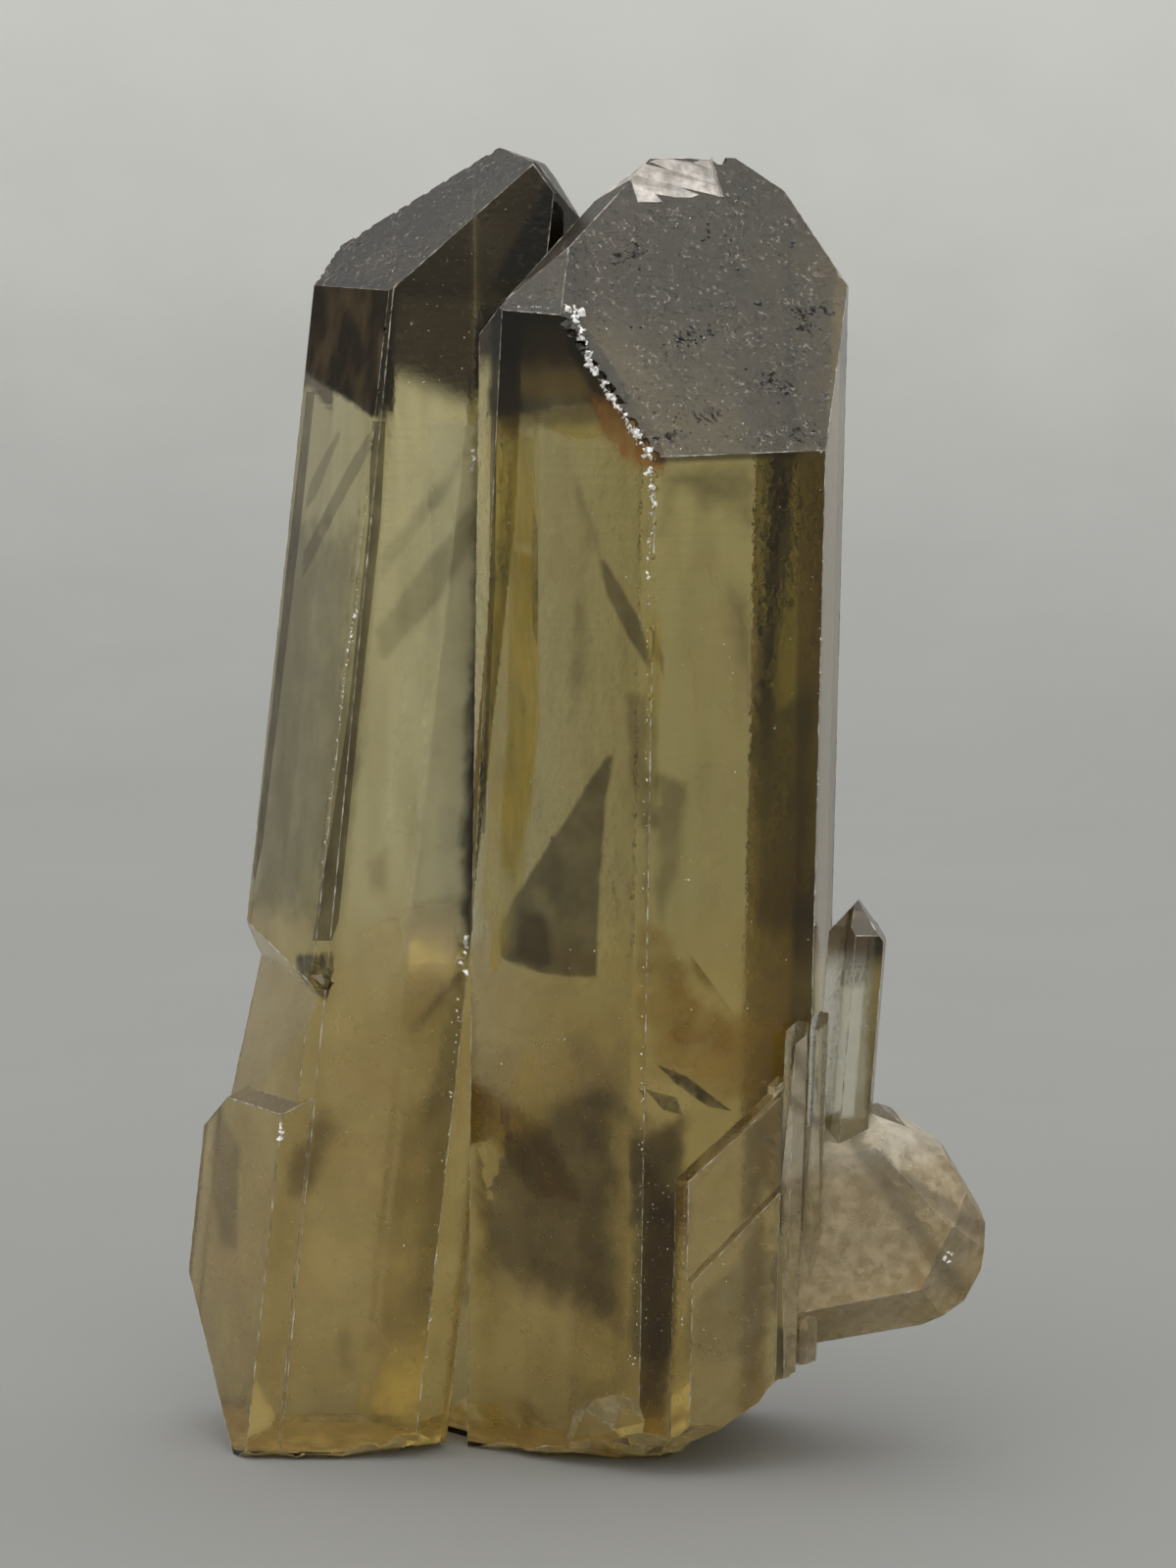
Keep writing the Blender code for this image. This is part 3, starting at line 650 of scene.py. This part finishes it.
# Each row: face, depth behind it, width of the soft rim, strength, outline in pixels
SMOKE_AND_SHADE_VEILS = (
    ("right_tip", 0.5, 0.5, 0.95, ((792, 215), (815, 215), (858, 280), (850, 462), (792, 456))),
    ("right_tip", 2.0, 2.0, 0.5, ((600, 260), (660, 215), (790, 230), (800, 440), (680, 440), (620, 360))),
    ("right_left", 0.8, 0.8, 0.6, ((500, 396), (560, 404), (612, 396), (640, 412), (650, 440), (600, 440),
                                   (560, 446), (500, 452))),
    ("right_left", 0.3, 0.0, 0.75, ((503, 330), (508, 330), (504, 470), (505, 600), (499, 720), (495, 850),
                                    (492, 850), (496, 700), (500, 600), (500, 470))),
    ("right_left", 2.0, 0.35, 0.9, ((634, 748), (617, 766), (570, 840), (524, 912), (508, 940), (506, 979),
                                    (558, 1000), (612, 1001), (616, 900), (621, 820))),
    ("right_left", 2.4, 0.9, 0.95, ((520, 925), (560, 920), (575, 1000), (545, 998), (518, 985))),
    ("right_left", 1.6, 0.35, 0.75, ((605, 556), (618, 566), (652, 622), (669, 672), (668, 700), (642, 655),
                                     (618, 610))),
    ("right_left", 1.3, 1.2, 0.5, ((582, 560), (610, 500), (606, 700), (570, 800), (572, 650))),
    ("right_left", 1.5, 0.7, 0.4, ((575, 440), (600, 500), (628, 590), (612, 590), (585, 520))),
    # This row is painted shade: a dark narrow strip beside the central edge, set against the golden strip on
    # its other side
    ("right_left", 1.2, 0.6, 0.5, ((632, 700), (668, 700), (668, 850), (650, 850), (636, 780))),
    ("right_left", 2.2, 2.5, 0.8, ((470, 1150), (560, 1100), (650, 1030), (655, 1390), (560, 1350),
                                    (470, 1320))),
    ("right_left", 3.2, 2.0, 0.55, ((560, 1050), (620, 1020), (640, 1130), (630, 1230), (580, 1180))),
    ("right_left", 0.7, 0.7, 0.4, ((478, 1010), (492, 1010), (478, 1440), (458, 1440))),
    ("right_front", 0.8, 0.15, 0.2, ((776, 460), (842, 458), (842, 600), (842, 940), (772, 940), (773, 700))),
    ("right_front", 1.6, 1.0, 0.6, ((764, 670), (800, 700), (840, 660), (846, 960), (764, 960))),
    ("right_front", 1.0, 0.6, 0.75, ((800, 925), (842, 915), (842, 1075), (796, 1100), (802, 1000))),
    ("right_front", 1.8, 1.8, 0.6, ((660, 462), (790, 456), (784, 580), (700, 520), (660, 620))),
    ("right_front", 2.4, 1.6, 0.5, ((725, 560), (782, 600), (780, 740), (750, 710), (724, 620))),
    ("right_front", 1.4, 0.9, 0.6, ((662, 780), (712, 790), (700, 900), (680, 960), (660, 940))),
    ("right_front", 0.9, 1.0, 0.8, ((632, 1160), (710, 1120), (706, 1300), (698, 1400), (632, 1400),
                                    (640, 1300))),
    ("right_front", 2.0, 1.2, 0.7, ((642, 1120), (710, 1140), (696, 1250), (642, 1270))),
    ("plate", 0.8, 1.0, 0.5, ((694, 1330), (760, 1260), (800, 1230), (800, 1330), (760, 1400), (694, 1400))),
    ("left_left", 0.3, 0.0, 0.85, ((313, 400), (321, 400), (304, 560), (268, 860), (260, 900), (258, 890),
                                   (273, 760), (297, 540))),
    ("left_left", 1.2, 0.25, 0.55, ((350, 482), (380, 432), (380, 460), (330, 550), (306, 600), (308, 562))),
    ("left_left", 1.0, 0.2, 0.45, ((314, 492), (345, 436), (352, 436), (322, 508), (308, 528))),
    ("left_left", 1.6, 2.4, 0.55, ((284, 500), (376, 520), (362, 800), (326, 970), (244, 950), (262, 760))),
    ("small", 0.5, 0.4, 0.55, ((840, 938), (870, 912), (892, 940), (888, 1010), (840, 1014))),
    ("left_strip", 0.12, 0.0, 0.85, ((379, 430), (393, 430), (388, 530), (366, 730), (345, 940), (338, 960),
                                     (316, 960), (336, 860), (355, 730), (376, 530))),
    ("left_front", 0.5, 0.5, 0.36, ((376, 640), (440, 560), (506, 470), (506, 530), (450, 618), (388, 690))),
    ("left_front", 0.6, 0.5, 0.28, ((380, 566), (440, 492), (480, 440), (502, 440), (440, 536), (384, 606))),
    ("left_front", 1.4, 0.35, 0.4, ((392, 420), (402, 438), (412, 432), (400, 452), (390, 448))),
    ("left_front", 1.5, 1.1, 0.5, ((360, 885), (405, 835), (405, 912), (370, 925))),
    ("left_front", 1.2, 0.9, 0.4, ((420, 1140), (450, 1050), (470, 1030), (458, 1130), (432, 1200))),
    ("left_front", 1.6, 1.0, 0.6, ((280, 1190), (330, 1110), (360, 1150), (316, 1240), (286, 1225))),
    ("left_front", 1.0, 0.9, 0.4, ((330, 1370), (360, 1330), (372, 1400), (350, 1430))),
    ("left_foot", 0.9, 1.0, 0.5, ((220, 1110), (250, 1160), (246, 1290), (218, 1280), (208, 1180))),
)
# The darkest smoke, under the tips
UMBER_VEILS = (
    ("right_left", 0.9, 0.6, 1.0, ((494, 300), (584, 300), (614, 350), (650, 406), (640, 424), (600, 418),
                                   (566, 428), (534, 432), (494, 430))),
    ("right_left", 0.5, 0.5, 0.8, ((566, 314), (590, 326), (624, 385), (644, 416), (632, 424), (600, 402),
                                   (580, 366))),
    ("left_left", 0.8, 0.25, 1.0, ((314, 292), (388, 290), (384, 432), (352, 408), (322, 392), (310, 384))),
    ("left_left", 2.0, 0.4, 0.9, ((314, 292), (388, 290), (384, 426), (352, 402), (322, 388), (310, 380))),
)
GOLDEN_AND_HIGHLIGHT_VEILS = (
    ("right_left", 1.4, 0.7, 0.6, ((494, 415), (530, 400), (556, 416), (560, 500), (556, 620), (556, 740),
                                   (542, 890), (516, 1000), (484, 1000), (488, 860), (492, 640))),
    ("right_left", 1.9, 0.5, 1.0, ((514, 540), (550, 570), (556, 720), (548, 810), (526, 920), (506, 880),
                                   (514, 700))),
    ("right_left", 1.7, 0.4, 0.8, ((520, 440), (548, 440), (552, 560), (520, 560))),
    ("right_left", 1.5, 0.5, 0.8, ((522, 396), (550, 410), (580, 412), (626, 394), (636, 444), (600, 456),
                                   (560, 446), (530, 430))),
    ("right_left", 3.0, 2.4, 0.6, ((480, 1060), (600, 1040), (620, 1150), (560, 1240), (480, 1220))),
    # This row is partly the quartz's golden tone and partly a painted highlight: a narrow strip beside the
    # central edge
    ("right_front", 0.9, 0.5, 0.6, ((660, 600), (680, 630), (678, 820), (660, 850))),
    ("right_front", 1.4, 1.0, 0.5, ((784, 620), (844, 600), (844, 710), (784, 740))),
)
AMBER_VEILS = (
    ("right_left", 0.7, 1.0, 0.4, ((520, 324), (600, 324), (630, 404), (584, 424), (520, 416))),
    ("right_front", 1.6, 1.4, 0.75, ((650, 930), (700, 960), (750, 1020), (820, 1030), (836, 1100),
                                     (770, 1140), (690, 1130), (648, 1100))),
    ("right_front", 1.2, 0.7, 0.7, ((652, 920), (684, 945), (710, 1010), (760, 1050), (750, 1084),
                                    (690, 1070), (650, 1050))),
    ("right_left", 1.3, 0.5, 0.7, ((496, 390), (540, 392), (532, 450), (496, 462))),
)
RUST_VEILS = (
    ("right_left", 0.7, 0.8, 1.0, ((594, 396), (628, 388), (656, 418), (684, 466), (676, 496), (640, 482),
                                   (608, 452))),
)
MILKY_VEILS = (
    ("right_left", 2.6, 1.2, 0.6, ((545, 430), (590, 450), (640, 560), (668, 660), (650, 700), (600, 580),
                                   (550, 640))),
    ("right_left", 2.8, 1.2, 0.45, ((610, 690), (660, 720), (662, 960), (625, 1020), (620, 840))),
    ("right_front", 2.8, 1.4, 0.65, ((680, 560), (730, 530), (782, 640), (782, 890), (740, 960), (700, 920),
                                     (690, 720))),
    ("left_front", 1.6, 1.4, 0.85, ((345, 925), (480, 915), (462, 1130), (320, 1170), (325, 1000))),
    ("left_front", 0.8, 0.9, 0.75, ((395, 915), (480, 905), (472, 1030), (400, 1030))),
    ("left_front", 2.6, 2.2, 0.8, ((280, 1120), (460, 1050), (446, 1410), (300, 1450), (255, 1450))),
    ("left_foot", 1.2, 1.2, 0.6, ((205, 1150), (282, 1170), (262, 1410), (235, 1450), (200, 1300))),
    ("right_left", 1.8, 1.6, 0.5, ((470, 1000), (650, 990), (646, 1130), (560, 1140), (470, 1170))),
    ("right_left", 3.6, 2.4, 0.6, ((470, 1200), (650, 1180), (650, 1420), (470, 1450))),
    ("right_left", 0.5, 0.6, 0.45, ((550, 1462), (598, 1424), (650, 1410), (650, 1458), (600, 1474))),
    ("plate", 0.2, 0.0, 0.7, ((832, 1072), (824, 1094), (764, 1154), (708, 1214), (694, 1216), (740, 1156))),
    ("plate", 0.2, 0.0, 0.55, ((694, 1216), (706, 1216), (702, 1300), (700, 1386), (691, 1386))),
    ("plate", 0.5, 0.3, 0.6, ((798, 1203), (792, 1236), (740, 1288), (700, 1328), (694, 1316))),
    ("plate", 0.5, 1.2, 0.5, ((696, 1330), (790, 1240), (800, 1340), (740, 1405), (696, 1400))),
)
# Painted light: pale sheets that brighten the left crystal's front and the small crystal
PAINTED_LIGHT_VEILS = (
    ("left_front", 0.9, 0.9, 0.85, ((430, 420), (500, 420), (494, 620), (488, 760), (482, 965), (404, 970),
                                    (424, 700))),
    ("left_front", 1.3, 1.6, 0.5, ((400, 450), (470, 440), (460, 880), (370, 880), (385, 640))),
    ("small", 0.5, 0.6, 0.5, ((834, 975), (894, 970), (890, 1170), (834, 1178))),
)
BLACK_VEILS = (
    ("right_front", 0.9, 0.0, 0.9, ((670, 1086), (700, 1098), (747, 1134), (722, 1129), (690, 1106))),
    ("right_front", 1.1, 0.0, 0.75, ((658, 1111), (690, 1120), (696, 1138), (676, 1132))),
    ("right_front", 0.9, 0.0, 0.8, ((769, 1150), (801, 1176), (798, 1182), (772, 1160))),
    # This row is a painted shadow: a dark sheet in the pit under the ledge of the left crystal
    ("left_left", 0.7, 0.4, 0.9, ((298, 970), (334, 968), (338, 1000), (328, 1026), (304, 1008))),
    ("right_left", 1.0, 0.0, 0.4, ((545, 520), (549, 540), (546, 600), (548, 660), (543, 640), (542, 570))),
)

# The kinds of veil: name, two colors, least cover, alpha, stretch and scale of the grain, and rows
VEIL_KINDS = (
    ("smoke_and_shade_veil", color(0.060, 0.038, 0.010), color(0.085, 0.055, 0.014), 0.75, 0.85, None, 0.5,
     SMOKE_AND_SHADE_VEILS),
    ("umber_veil", color(0.020, 0.012, 0.004), color(0.045, 0.026, 0.008), 0.8, 0.95, None, 0.5,
     UMBER_VEILS),
    ("golden_and_highlight_veil", color(0.95, 0.75, 0.14), color(0.75, 0.64, 0.15), 0.5, 0.85, (1.0, 1.0, 0.15), 0.9,
     GOLDEN_AND_HIGHLIGHT_VEILS),
    ("amber_veil", color(0.60, 0.38, 0.05), color(0.50, 0.36, 0.08), 0.4, 0.8, None, 0.5, AMBER_VEILS),
    ("rust_veil", color(0.70, 0.24, 0.02), color(0.42, 0.19, 0.03), 0.6, 0.9, (1.0, 1.0, 0.5), 0.9,
     RUST_VEILS),
    ("milky_veil", color(0.88, 0.76, 0.54), color(0.78, 0.72, 0.50), 0.3, 0.7, None, 0.2, MILKY_VEILS),
    ("painted_light_veil", color(0.95, 0.93, 0.72), color(0.95, 0.92, 0.70), 0.85, 0.75, None, 0.5, PAINTED_LIGHT_VEILS),
    ("black_fracture_and_shadow", color(0.012, 0.010, 0.006), color(0.02, 0.016, 0.01), 0.5, 0.95, None, 1.5,
     BLACK_VEILS),
)

# Lines of white chips: face, start and end in pixels, how many, the largest, and the spread
FLECK_LINES = (
    ("right_tip", (577, 312), (592, 326), 22, 0.46, 0.32),
    ("right_tip", (590, 330), (600, 368), 24, 0.34, 0.16),
    ("right_tip", (600, 362), (606, 384), 12, 0.4, 0.18),
    ("right_tip", (600, 368), (640, 432), 34, 0.22, 0.12),
    ("right_left", (602, 370), (662, 466), 80, 0.26, 0.2),
    ("right_tip", (640, 432), (664, 468), 26, 0.34, 0.2),
    ("right_left", (664, 462), (666, 520), 18, 0.32, 0.14),
    ("right_left", (665, 470), (661, 640), 34, 0.2, 0.14),
    ("right_left", (661, 640), (655, 1130), 40, 0.13, 0.1),
    ("right_left", (655, 1130), (645, 1400), 26, 0.1, 0.2),
    ("left_strip", (380, 440), (370, 560), 8, 0.08, 0.05),
    ("left_strip", (368, 590), (350, 700), 26, 0.2, 0.12),
    ("left_strip", (350, 700), (325, 900), 26, 0.13, 0.1),
    ("left_front", (484, 455), (482, 482), 9, 0.24, 0.1),
    ("left_front", (476, 955), (468, 1000), 10, 0.45, 0.16),
    ("left_front", (468, 1010), (440, 1390), 34, 0.12, 0.16),
    ("left_front", (282, 1148), (296, 1172), 9, 0.4, 0.2),
    ("right_tip_left", (525, 314), (575, 314), 14, 0.14, 0.08),
    ("right_front", (838, 640), (834, 960), 24, 0.12, 0.12),
    ("right_front", (838, 460), (838, 640), 6, 0.1, 0.1),
    ("plate", (694, 1218), (692, 1380), 14, 0.1, 0.14),
    ("lump", (975, 1284), (996, 1302), 9, 0.3, 0.3),
    ("lump", (905, 1150), (950, 1190), 9, 0.18, 0.4),
)
# Clusters of dark etch marks, painted shade in the pits, on the broad tip face: pixel, spread in pixels, how
# many
ETCH_CLUSTERS = (
    (645, 258, 8, 20), (632, 264, 6, 9), (700, 345, 10, 28), (715, 338, 7, 12), (833, 318, 6, 20),
    (826, 332, 5, 12), (784, 385, 9, 24), (800, 400, 7, 14), (686, 446, 9, 20), (714, 424, 8, 14),
    (815, 444, 8, 12), (770, 240, 24, 8), (740, 300, 40, 8),
)
# Faces strewn with fine specks, painted glints of small lit etch figures: face, corner pixels of the patch,
# how many
SPECK_PATCHES = (
    ("right_tip", (600, 220), (830, 440), 150), ("left_front", (395, 310), (480, 900), 60),
    ("left_tip", (350, 185), (520, 290), 60), ("left_front", (400, 210), (500, 400), 40),
    ("right_tip", (690, 332), (722, 352), 12), ("right_tip", (636, 248), (660, 268), 8),
    ("right_tip", (680, 420), (730, 462), 22), ("right_tip", (826, 306), (842, 334), 8),
    ("right_left", (510, 480), (650, 1380), 45),
    ("right_front", (670, 470), (830, 1050), 90), ("right_front", (650, 1200), (690, 1380), 60),
    ("left_front", (300, 1000), (450, 1440), 35), ("plate", (700, 1230), (790, 1380), 30),
)

# A grain: its corners, their reach as shares of its size, and how much of its thickness is pressed out
FLECK_CORNERS, FLECK_REACH, FLECK_PRESSED = 6, (0.5, 1.0), 0.8
FLECK_SIZES = (0.25, 1.0)              # shares of a line's largest chip
FLECK_DRIFT = 0.6                      # share of a line's spread
SPECK_LEAST, SPECK_MORE = 0.02, 0.08   # a speck's least size, and what the largest has more
ETCH_SIZES = (0.12, 0.5)
ETCH_FLATTENED = 0.6                   # height of a cluster as a share of its width

EDGE_SHORTEST = 1.5                    # shortest edge that gets a painted highlight line
EDGE_ANGLE = 16.0                      # least angle between its faces
EDGE_WIDTH = 0.055                     # half width of the painted line at its widest
EDGE_STEP = 0.35                       # length over which the width changes
EDGE_CHANGE = (0.15, 1.0)              # range of the half width, as shares of its widest
EDGE_SUNK, EDGE_PROUD = 0.3, 0.5       # shares of the half width

# Where the frosted skins lie: limits of places, and of the share of a normal along an axis or a face's
SKIN_PROUD, BED_PROUD = 0.02, -0.35
APEX_LEFT, APEX_RIGHT = (626, 200), (738, 200)      # pixels at the ends of the chipped apex
APEX_SUNK, APEX_HEIGHT, APEX_TURN = 0.04, 1.2, 0.2
SAME_FACE, FACET_Z = 0.995, 48.0
TIP_RISE, TIP_Z = 0.25, 50.0
LUMP_SKIN_X, LUMP_SKIN_Z, LUMP_TOP = 11.8, 20.6, 0.98
FLAT_Z = 0.01
NEAR_FACE, PLATE_Z, PLATE_DEPTH = 0.985, 29.0, 0.7
RIM_Z, RIM_X, RIM_FALL = (0.05, 5.5), 9.0, -0.15

# The sweep: metres for its rings, flat ones first, and millimetres for its shading
SWEEP_FLAT, SWEEP_START, SWEEP_BEND = (0.15, 0.3), 0.34, 0.3
SWEEP_ANGLE, SWEEP_STEPS, SWEEP_SIDES = 75.0, 16, 96
SWEEP_GRAIN, SWEEP_FADE = 40.0, 190.0
# Painted light on the sweep: darker low down and lighter higher up
SWEEP_LOW, SWEEP_HIGH = color(0.195, 0.195, 0.186), color(0.40, 0.40, 0.378)

# The sky's color, its brightest direction, and its strength from far from there to near
SKY_COLOR = color(1.0, 1.0, 0.99)
SKY_BRIGHTEST = Vector((-0.1, -0.35, 0.93))
SKY_SPREAD = (0.1, 0.9)
SKY_STRENGTH = (0.35, 2.2)


def add_fleck(bm, place, size, rng, flat=None):
    """One sharp grain, pressed thin along a face's normal if one is given."""
    points = []
    for _ in range(FLECK_CORNERS):
        way = Vector([rng.gauss(0, 1) for _ in range(3)]).normalized() * size * rng.uniform(*FLECK_REACH)
        if flat:
            way -= flat * way.dot(flat) * FLECK_PRESSED
        points.append(bm.verts.new(place + way))
    bmesh.ops.convex_hull(bm, input=points)


def white_flecks():
    """White chips along the edges, and specks strewn over the faces as painted glints."""
    rng = random.Random(SEED)
    bm = bmesh.new()
    for face, start, end, count, size, spread in FLECK_LINES:
        first, last = on_face(*start, face), on_face(*end, face)
        for _ in range(count):
            drift = Vector([rng.gauss(0, spread * FLECK_DRIFT) for _ in range(3)])
            drift -= FACES[face][0] * drift.dot(FACES[face][0])
            grain = size * rng.uniform(*FLECK_SIZES)
            place = SURFACE.find_nearest(first.lerp(last, rng.random()) + drift)[0]
            add_fleck(bm, place, grain, rng)
    for face, low, high, count in SPECK_PATCHES:
        for _ in range(count):
            place = on_face(rng.uniform(low[0], high[0]), rng.uniform(low[1], high[1]), face)
            place = SURFACE.find_nearest(place)[0]
            add_fleck(bm, place, SPECK_LEAST + SPECK_MORE * rng.random() ** 3, rng)
    drop_loose(bm)
    return finished("white_chips_and_glints", bm, fleck_material())


def etch_pit_shade():
    """Dark grains in clusters on the broad tip face: painted shade in the etch pits."""
    rng = random.Random(SEED + 1)
    bm = bmesh.new()
    for u, v, spread, count in ETCH_CLUSTERS:
        for _ in range(count):
            place = on_face(u + rng.gauss(0, spread), v + rng.gauss(0, spread * ETCH_FLATTENED), "right_tip")
            place, normal, _, _ = SURFACE.find_nearest(place)
            add_fleck(bm, place, rng.uniform(*ETCH_SIZES), rng, normal)
    drop_loose(bm)
    return finished("etch_pit_shade", bm, pit_shade_material())


def add_edge_line(bm, start, end, out, count, rng):
    """A three-sided strip of changing width along an edge, in a number of steps, with its ridge outward."""
    across = (end - start).normalized().cross(out)
    rings = []
    for step in range(count + 1):
        wide = EDGE_WIDTH * rng.uniform(*EDGE_CHANGE)
        middle = start.lerp(end, step / count)
        rings.append([bm.verts.new(middle + across * wide - out * wide * EDGE_SUNK),
                      bm.verts.new(middle + out * wide * EDGE_PROUD),
                      bm.verts.new(middle - across * wide - out * wide * EDGE_SUNK)])
    for low, high in zip(rings, rings[1:]):
        for k in range(3):
            bm.faces.new((low[k], low[k - 1], high[k - 1], high[k]))
    bm.faces.new(rings[0])
    bm.faces.new(rings[-1][::-1])


def edge_highlights():
    """Fine painted highlight lines, with darker stretches of painted shade, along the crystals' long edges.
    """
    rng = random.Random(SEED + 2)
    source = solid_mesh()
    bm = bmesh.new()
    for edge in source.edges:
        if len(edge.link_faces) != 2 or edge.calc_length() < EDGE_SHORTEST:
            continue
        if edge.calc_face_angle() < math.radians(EDGE_ANGLE):
            continue
        start, end = (vertex.co for vertex in edge.verts)
        out = (edge.link_faces[0].normal + edge.link_faces[1].normal).normalized()
        add_edge_line(bm, start, end, out, max(2, round(edge.calc_length() / EDGE_STEP)), rng)
    source.free()
    bmesh.ops.recalc_face_normals(bm, faces=bm.faces)
    return finished("edge_highlights", bm, edge_line_material())


def skin(name, material, chosen, proud=SKIN_PROUD):
    """A copy of the quartz's own broken faces, a hair proud of them."""
    bm = solid_mesh()
    bm.normal_update()
    drop = [face for face in bm.faces if not chosen(face.calc_center_median(), face.normal)]
    bmesh.ops.delete(bm, geom=drop, context="FACES")
    bm.normal_update()
    for vertex in bm.verts:
        vertex.co += vertex.normal * proud
    for face in bm.faces:
        face.smooth = False
    return finished(name, bm, material)


def in_apex_chip(center, normal):
    tip_normal, tip_point = FACES["right_tip"]
    left, right = on_face(*APEX_LEFT, "right_tip"), on_face(*APEX_RIGHT, "right_tip")
    sunk = (center - tip_point).dot(tip_normal) < -APEX_SUNK
    return sunk and center.z > left.z - APEX_HEIGHT and left.x < center.x < right.x and normal.y < APEX_TURN


def in_left_facet(center, normal):
    return normal.dot(FACES["left_left"][0]) > SAME_FACE and center.z > FACET_Z


def in_tips(center, normal):
    return normal.z > TIP_RISE and center.z > TIP_Z and not in_apex_chip(center, normal)


def in_lump(center, normal):
    return center.x > LUMP_SKIN_X and center.z < LUMP_SKIN_Z and normal.z < LUMP_TOP


def in_flat(center, normal):
    return center.z < FLAT_Z


def in_plates(center, normal):
    plate_normal, plate_point = FACES["plate"]
    return (normal.dot(plate_normal) > NEAR_FACE and center.z < PLATE_Z
            and (center - plate_point).dot(plate_normal) > -PLATE_DEPTH)


def in_rim(center, normal):
    return RIM_Z[0] < center.z < RIM_Z[1] and normal.z < RIM_FALL and center.x < RIM_X


def sweep_profile():
    """Radius and height of the sweep's rings: a flat floor that bends up all round."""
    profile = [(radius, 0.0) for radius in SWEEP_FLAT]
    for step in range(1, SWEEP_STEPS + 1):
        angle = math.radians(SWEEP_ANGLE * step / SWEEP_STEPS)
        profile.append((SWEEP_START + SWEEP_BEND * math.sin(angle), SWEEP_BEND * (1.0 - math.cos(angle))))
    return profile


def pale_sweep():
    """A pale round sweep that the cluster stands on, with painted light that makes it a little lighter higher
    up.
    """
    s = Shader("pale_sweep")
    grain = s.times(s.noise(0.02, detail=4.0, rough=0.6), SWEEP_GRAIN)
    s.set("Base Color", s.mix(s.ramp(s.plus(s.z, grain), 0.0, SWEEP_FADE), SWEEP_LOW, SWEEP_HIGH))
    s.set("Roughness", 0.8)
    bm = bmesh.new()
    turns = [math.tau * k / SWEEP_SIDES for k in range(SWEEP_SIDES)]
    rings = [[bm.verts.new((radius * math.cos(turn), radius * math.sin(turn), height)) for turn in turns]
             for radius, height in sweep_profile()]
    middle = bm.verts.new((0.0, 0.0, 0.0))
    for k in range(SWEEP_SIDES):
        after = (k + 1) % SWEEP_SIDES
        bm.faces.new((middle, rings[0][k], rings[0][after]))
        for low, high in zip(rings, rings[1:]):
            bm.faces.new((low[k], high[k], high[after], low[after]))
    bmesh.ops.recalc_face_normals(bm, faces=bm.faces)
    for face in bm.faces:
        face.smooth = True
    mesh = bpy.data.meshes.new("pale_sweep")
    bm.to_mesh(mesh)
    bm.free()
    mesh.materials.append(s.material)
    sweep = bpy.data.objects.new("pale_sweep", mesh)
    bpy.context.scene.collection.objects.link(sweep)


def soft_sky():
    """The only light: a white sky, brightest overhead and a little to the front."""
    world = bpy.data.worlds.new("soft_sky")
    bpy.context.scene.world = world
    world.use_nodes = True
    world.cycles.sampling_method = "NONE"
    nodes, links = world.node_tree.nodes, world.node_tree.links
    background = nodes["Background"]
    background.inputs["Color"].default_value = SKY_COLOR
    place = nodes.new("ShaderNodeTexCoord")
    dot = nodes.new("ShaderNodeVectorMath")
    dot.operation = "DOT_PRODUCT"
    links.new(place.outputs["Generated"], dot.inputs[0])
    dot.inputs[1].default_value = SKY_BRIGHTEST.normalized()
    span = nodes.new("ShaderNodeMapRange")
    span.interpolation_type = "SMOOTHSTEP"
    links.new(dot.outputs["Value"], span.inputs["Value"])
    span.inputs["From Min"].default_value, span.inputs["From Max"].default_value = SKY_SPREAD
    span.inputs["To Min"].default_value, span.inputs["To Max"].default_value = SKY_STRENGTH
    links.new(span.outputs["Result"], background.inputs["Strength"])


def camera():
    """A long lens at the photograph's height and distance."""
    data = bpy.data.cameras.new("view")
    data.sensor_fit = "VERTICAL"
    data.sensor_height = SENSOR
    data.lens = FOCAL / VIEW_HEIGHT * SENSOR
    data.clip_start = CLIP_NEAR
    data.clip_end = CLIP_FAR
    obj = bpy.data.objects.new("view", data)
    obj.location = EYE * MM
    obj.rotation_euler = (math.radians(90.0 - VIEW_ELEVATION), 0.0, 0.0)
    bpy.context.scene.collection.objects.link(obj)
    bpy.context.scene.camera = obj


def light_paths():
    """Enough bounces for light to cross the crystals and their veils, and no more."""
    cycles = bpy.context.scene.cycles
    cycles.max_bounces = 9
    cycles.diffuse_bounces = 2
    cycles.glossy_bounces = 3
    cycles.transmission_bounces = 9
    cycles.transparent_max_bounces = 14


bpy.context.scene.view_settings.view_transform = "Standard"
light_paths()
camera()
pale_sweep()
soft_sky()
clear_cluster()
for kind, first, second, least, most, stretch, scale, rows in VEIL_KINDS:
    veils(kind + "s", veil_material(kind, first, second, least, most, stretch, scale), rows)
skin("apex_chip", skin_material("pale_fracture", color(0.40, 0.36, 0.31), color(0.66, 0.62, 0.57), 0.95),
     in_apex_chip)
skin("tip_grain_shade_and_sheen", grain_shade_and_sheen_material(), in_tips)
skin("umber_facet_shade", facet_shade_material(), in_left_facet)
skin("lump_frost_and_shade", lump_material(), in_lump)
skin("plate_frost", skin_material("plate_frost", color(0.22, 0.18, 0.09), color(0.34, 0.29, 0.17), 0.36),
     in_plates)
# Base bed: a pale tan sheet just inside the flat base, painted light that lifts the shade where the base
# stands on the floor
skin("base_painted_light", skin_material("base_painted_light", color(0.75, 0.60, 0.36), color(0.90, 0.78, 0.54), 1.0), in_flat,
     BED_PROUD)
# Rim frost: partly the frosted look of the broken rim, partly painted light that lifts the shade of its
# downward faces
skin("rim_frost_painted_light", skin_material("rim_frost_painted_light", color(0.24, 0.19, 0.10), color(0.42, 0.35, 0.22), 0.7), in_rim)
white_flecks()
etch_pit_shade()
edge_highlights()
bpy.context.view_layer.update()
